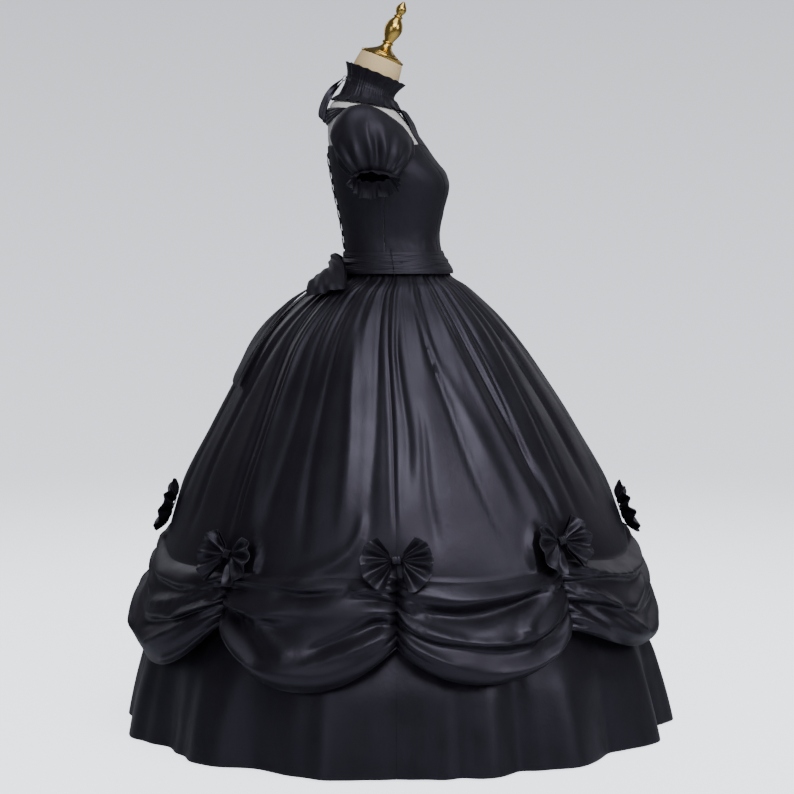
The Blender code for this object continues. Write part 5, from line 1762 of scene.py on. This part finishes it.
class GownCloth(bpy.types.PropertyGroup):
    satin_colour: colour("Satin", "Colour of the satin", (0.0062, 0.0058, 0.0080))
    sheen_tint: colour("Sheen tint", "Tint of the satin's sheen", (0.55, 0.52, 0.80))
    satin_roughness: number("Roughness", "How soft the lights on the satin are", 0.43, subtype="FACTOR")
    sheen: number("Sheen", "How much cool sheen the satin has", 0.028, subtype="FACTOR")
    crease_height: number("Crease height", "Height of the small soft creases", 0.0022, unit="LENGTH")
    fold_depth: number("Fold depth", "Depth of the skirt's long folds, as a share", 1.0, subtype="FACTOR")
    ruching_depth: number("Ruching depth", "Depth of the ruching at the pick-ups, as a share", 1.0)


class GownForm(bpy.types.PropertyGroup):
    jersey_colour: colour("Jersey", "Colour of the torso's jersey", (0.80, 0.78, 0.75))
    linen_colour: colour("Linen", "Colour of the neck's linen", (0.98, 0.75, 0.40))
    gold_colour: colour("Gold", "Colour of the finial", (0.83, 0.58, 0.16))
    steel_colour: colour("Steel", "Colour of the stand's paint", (0.03, 0.03, 0.032))


class GownStage(bpy.types.PropertyGroup):
    floor_colour: colour("Floor", "Colour of the floor", (0.76, 0.80, 0.85))
    wall_low: colour("Wall, low", "Colour of the backdrop low down", (1.72, 1.86, 2.04))
    wall_high: colour("Wall, high", "Colour of the backdrop at the top", (0.89, 0.91, 0.99))
    ambient: number("Ambient", "Strength of the light from all round", 0.11)
    light: number("Light", "Power of all lamps, as a share", 1.0)
    floor_glow: number("Floor glow", "How white the floor shows", 2.7)
    camera_distance: number("Distance", "From the camera to the skirt's axis", 5.3, unit="LENGTH")
    camera_height: number("Height", "Height of the camera", 1.20, unit="LENGTH")
    camera_side: number("Side", "How far the view's middle is behind the axis", 0.0012, unit="LENGTH")
    aim_height: number("Aim", "Height at which the camera looks", 0.7535, unit="LENGTH")
    pixels_per_metre: number("Scale", "Pixels of the photograph to a metre at the axis", 430.0)


class GOWN_OT_form(bpy.types.Operator):
    """Make the dress form's torso and neck"""

    bl_idname = "gown.form"
    bl_label = "Dress form"
    bl_options = {"REGISTER", "UNDO"}

    def execute(self, context):
        build_form(context)
        return {"FINISHED"}


class GOWN_OT_stand(bpy.types.Operator):
    """Make the finial, the pole and the floor plate"""

    bl_idname = "gown.stand"
    bl_label = "Finial and stand"
    bl_options = {"REGISTER", "UNDO"}

    def execute(self, context):
        build_stand(context)
        return {"FINISHED"}


class GOWN_OT_bodice(bpy.types.Operator):
    """Make the bodice's panels, the placket and the back lacing"""

    bl_idname = "gown.bodice"
    bl_label = "Bodice and lacing"
    bl_options = {"REGISTER", "UNDO"}

    def execute(self, context):
        build_bodice(context)
        build_lacing(context)
        return {"FINISHED"}


class GOWN_OT_neck(bpy.types.Operator):
    """Make the halter yoke, the back band, the collar and its ribbon"""

    bl_idname = "gown.neck"
    bl_label = "Yoke and collar"
    bl_options = {"REGISTER", "UNDO"}

    def execute(self, context):
        build_yoke(context)
        build_back_band(context)
        build_collar(context)
        return {"FINISHED"}


class GOWN_OT_sleeves(bpy.types.Operator):
    """Make the two puff sleeves"""

    bl_idname = "gown.sleeves"
    bl_label = "Sleeves"
    bl_options = {"REGISTER", "UNDO"}

    def execute(self, context):
        build_sleeves(context)
        return {"FINISHED"}


class GOWN_OT_skirts(bpy.types.Operator):
    """Make the swagged overskirt and the underskirt"""

    bl_idname = "gown.skirts"
    bl_label = "Skirts"
    bl_options = {"REGISTER", "UNDO"}

    def execute(self, context):
        build_overskirt(context)
        build_underskirt(context)
        return {"FINISHED"}


class GOWN_OT_bows(bpy.types.Operator):
    """Make the eight bows on the overskirt"""

    bl_idname = "gown.bows"
    bl_label = "Skirt bows"
    bl_options = {"REGISTER", "UNDO"}

    def execute(self, context):
        build_skirt_bows(context)
        return {"FINISHED"}


class GOWN_OT_sash(bpy.types.Operator):
    """Make the sash, its thread carriers and its bow"""

    bl_idname = "gown.sash"
    bl_label = "Sash and bow"
    bl_options = {"REGISTER", "UNDO"}

    def execute(self, context):
        build_sash(context)
        build_sash_bow(context)
        return {"FINISHED"}


class GOWN_OT_stitching(bpy.types.Operator):
    """Make the stitching of casings, hem and neckline"""

    bl_idname = "gown.stitching"
    bl_label = "Stitching"
    bl_options = {"REGISTER", "UNDO"}

    def execute(self, context):
        build_stitching(context)
        return {"FINISHED"}


class GOWN_OT_stage(bpy.types.Operator):
    """Make the floor, the studio light and the camera"""

    bl_idname = "gown.stage"
    bl_label = "Studio"
    bl_options = {"REGISTER", "UNDO"}

    def execute(self, context):
        build_stage(context)
        return {"FINISHED"}


OPERATORS = (
    GOWN_OT_form,
    GOWN_OT_stand,
    GOWN_OT_bodice,
    GOWN_OT_neck,
    GOWN_OT_sleeves,
    GOWN_OT_skirts,
    GOWN_OT_bows,
    GOWN_OT_sash,
    GOWN_OT_stitching,
    GOWN_OT_stage,
)


class GOWN_PT_panel(bpy.types.Panel):
    """The gown's settings and the operators that make its pieces"""

    bl_label = "Ball gown"
    bl_idname = "GOWN_PT_panel"
    bl_space_type = "VIEW_3D"
    bl_region_type = "UI"
    bl_category = "Gown"

    def draw(self, context):
        for group in (context.scene.gown_cloth, context.scene.gown_form, context.scene.gown_stage):
            box = self.layout.box()
            for name in group.bl_rna.properties.keys():
                if name not in ("rna_type", "name"):
                    box.prop(group, name)
        for operator in OPERATORS:
            self.layout.operator(operator.bl_idname)


SETTINGS = {"gown_cloth": GownCloth, "gown_form": GownForm, "gown_stage": GownStage}
CLASSES = (*SETTINGS.values(), *OPERATORS, GOWN_PT_panel)


def register():
    for cls in CLASSES:
        bpy.utils.register_class(cls)
    for name, settings in SETTINGS.items():
        setattr(bpy.types.Scene, name, bpy.props.PointerProperty(type=settings))


def unregister():
    for name in SETTINGS:
        delattr(bpy.types.Scene, name)
    for cls in reversed(CLASSES):
        bpy.utils.unregister_class(cls)


def main():
    register()
    bpy.ops.gown.form()
    bpy.ops.gown.stand()
    bpy.ops.gown.bodice()
    bpy.ops.gown.neck()
    bpy.ops.gown.sleeves()
    bpy.ops.gown.skirts()
    bpy.ops.gown.bows()
    bpy.ops.gown.sash()
    bpy.ops.gown.stitching()
    bpy.ops.gown.stage()


if __name__ == "__main__":
    main()
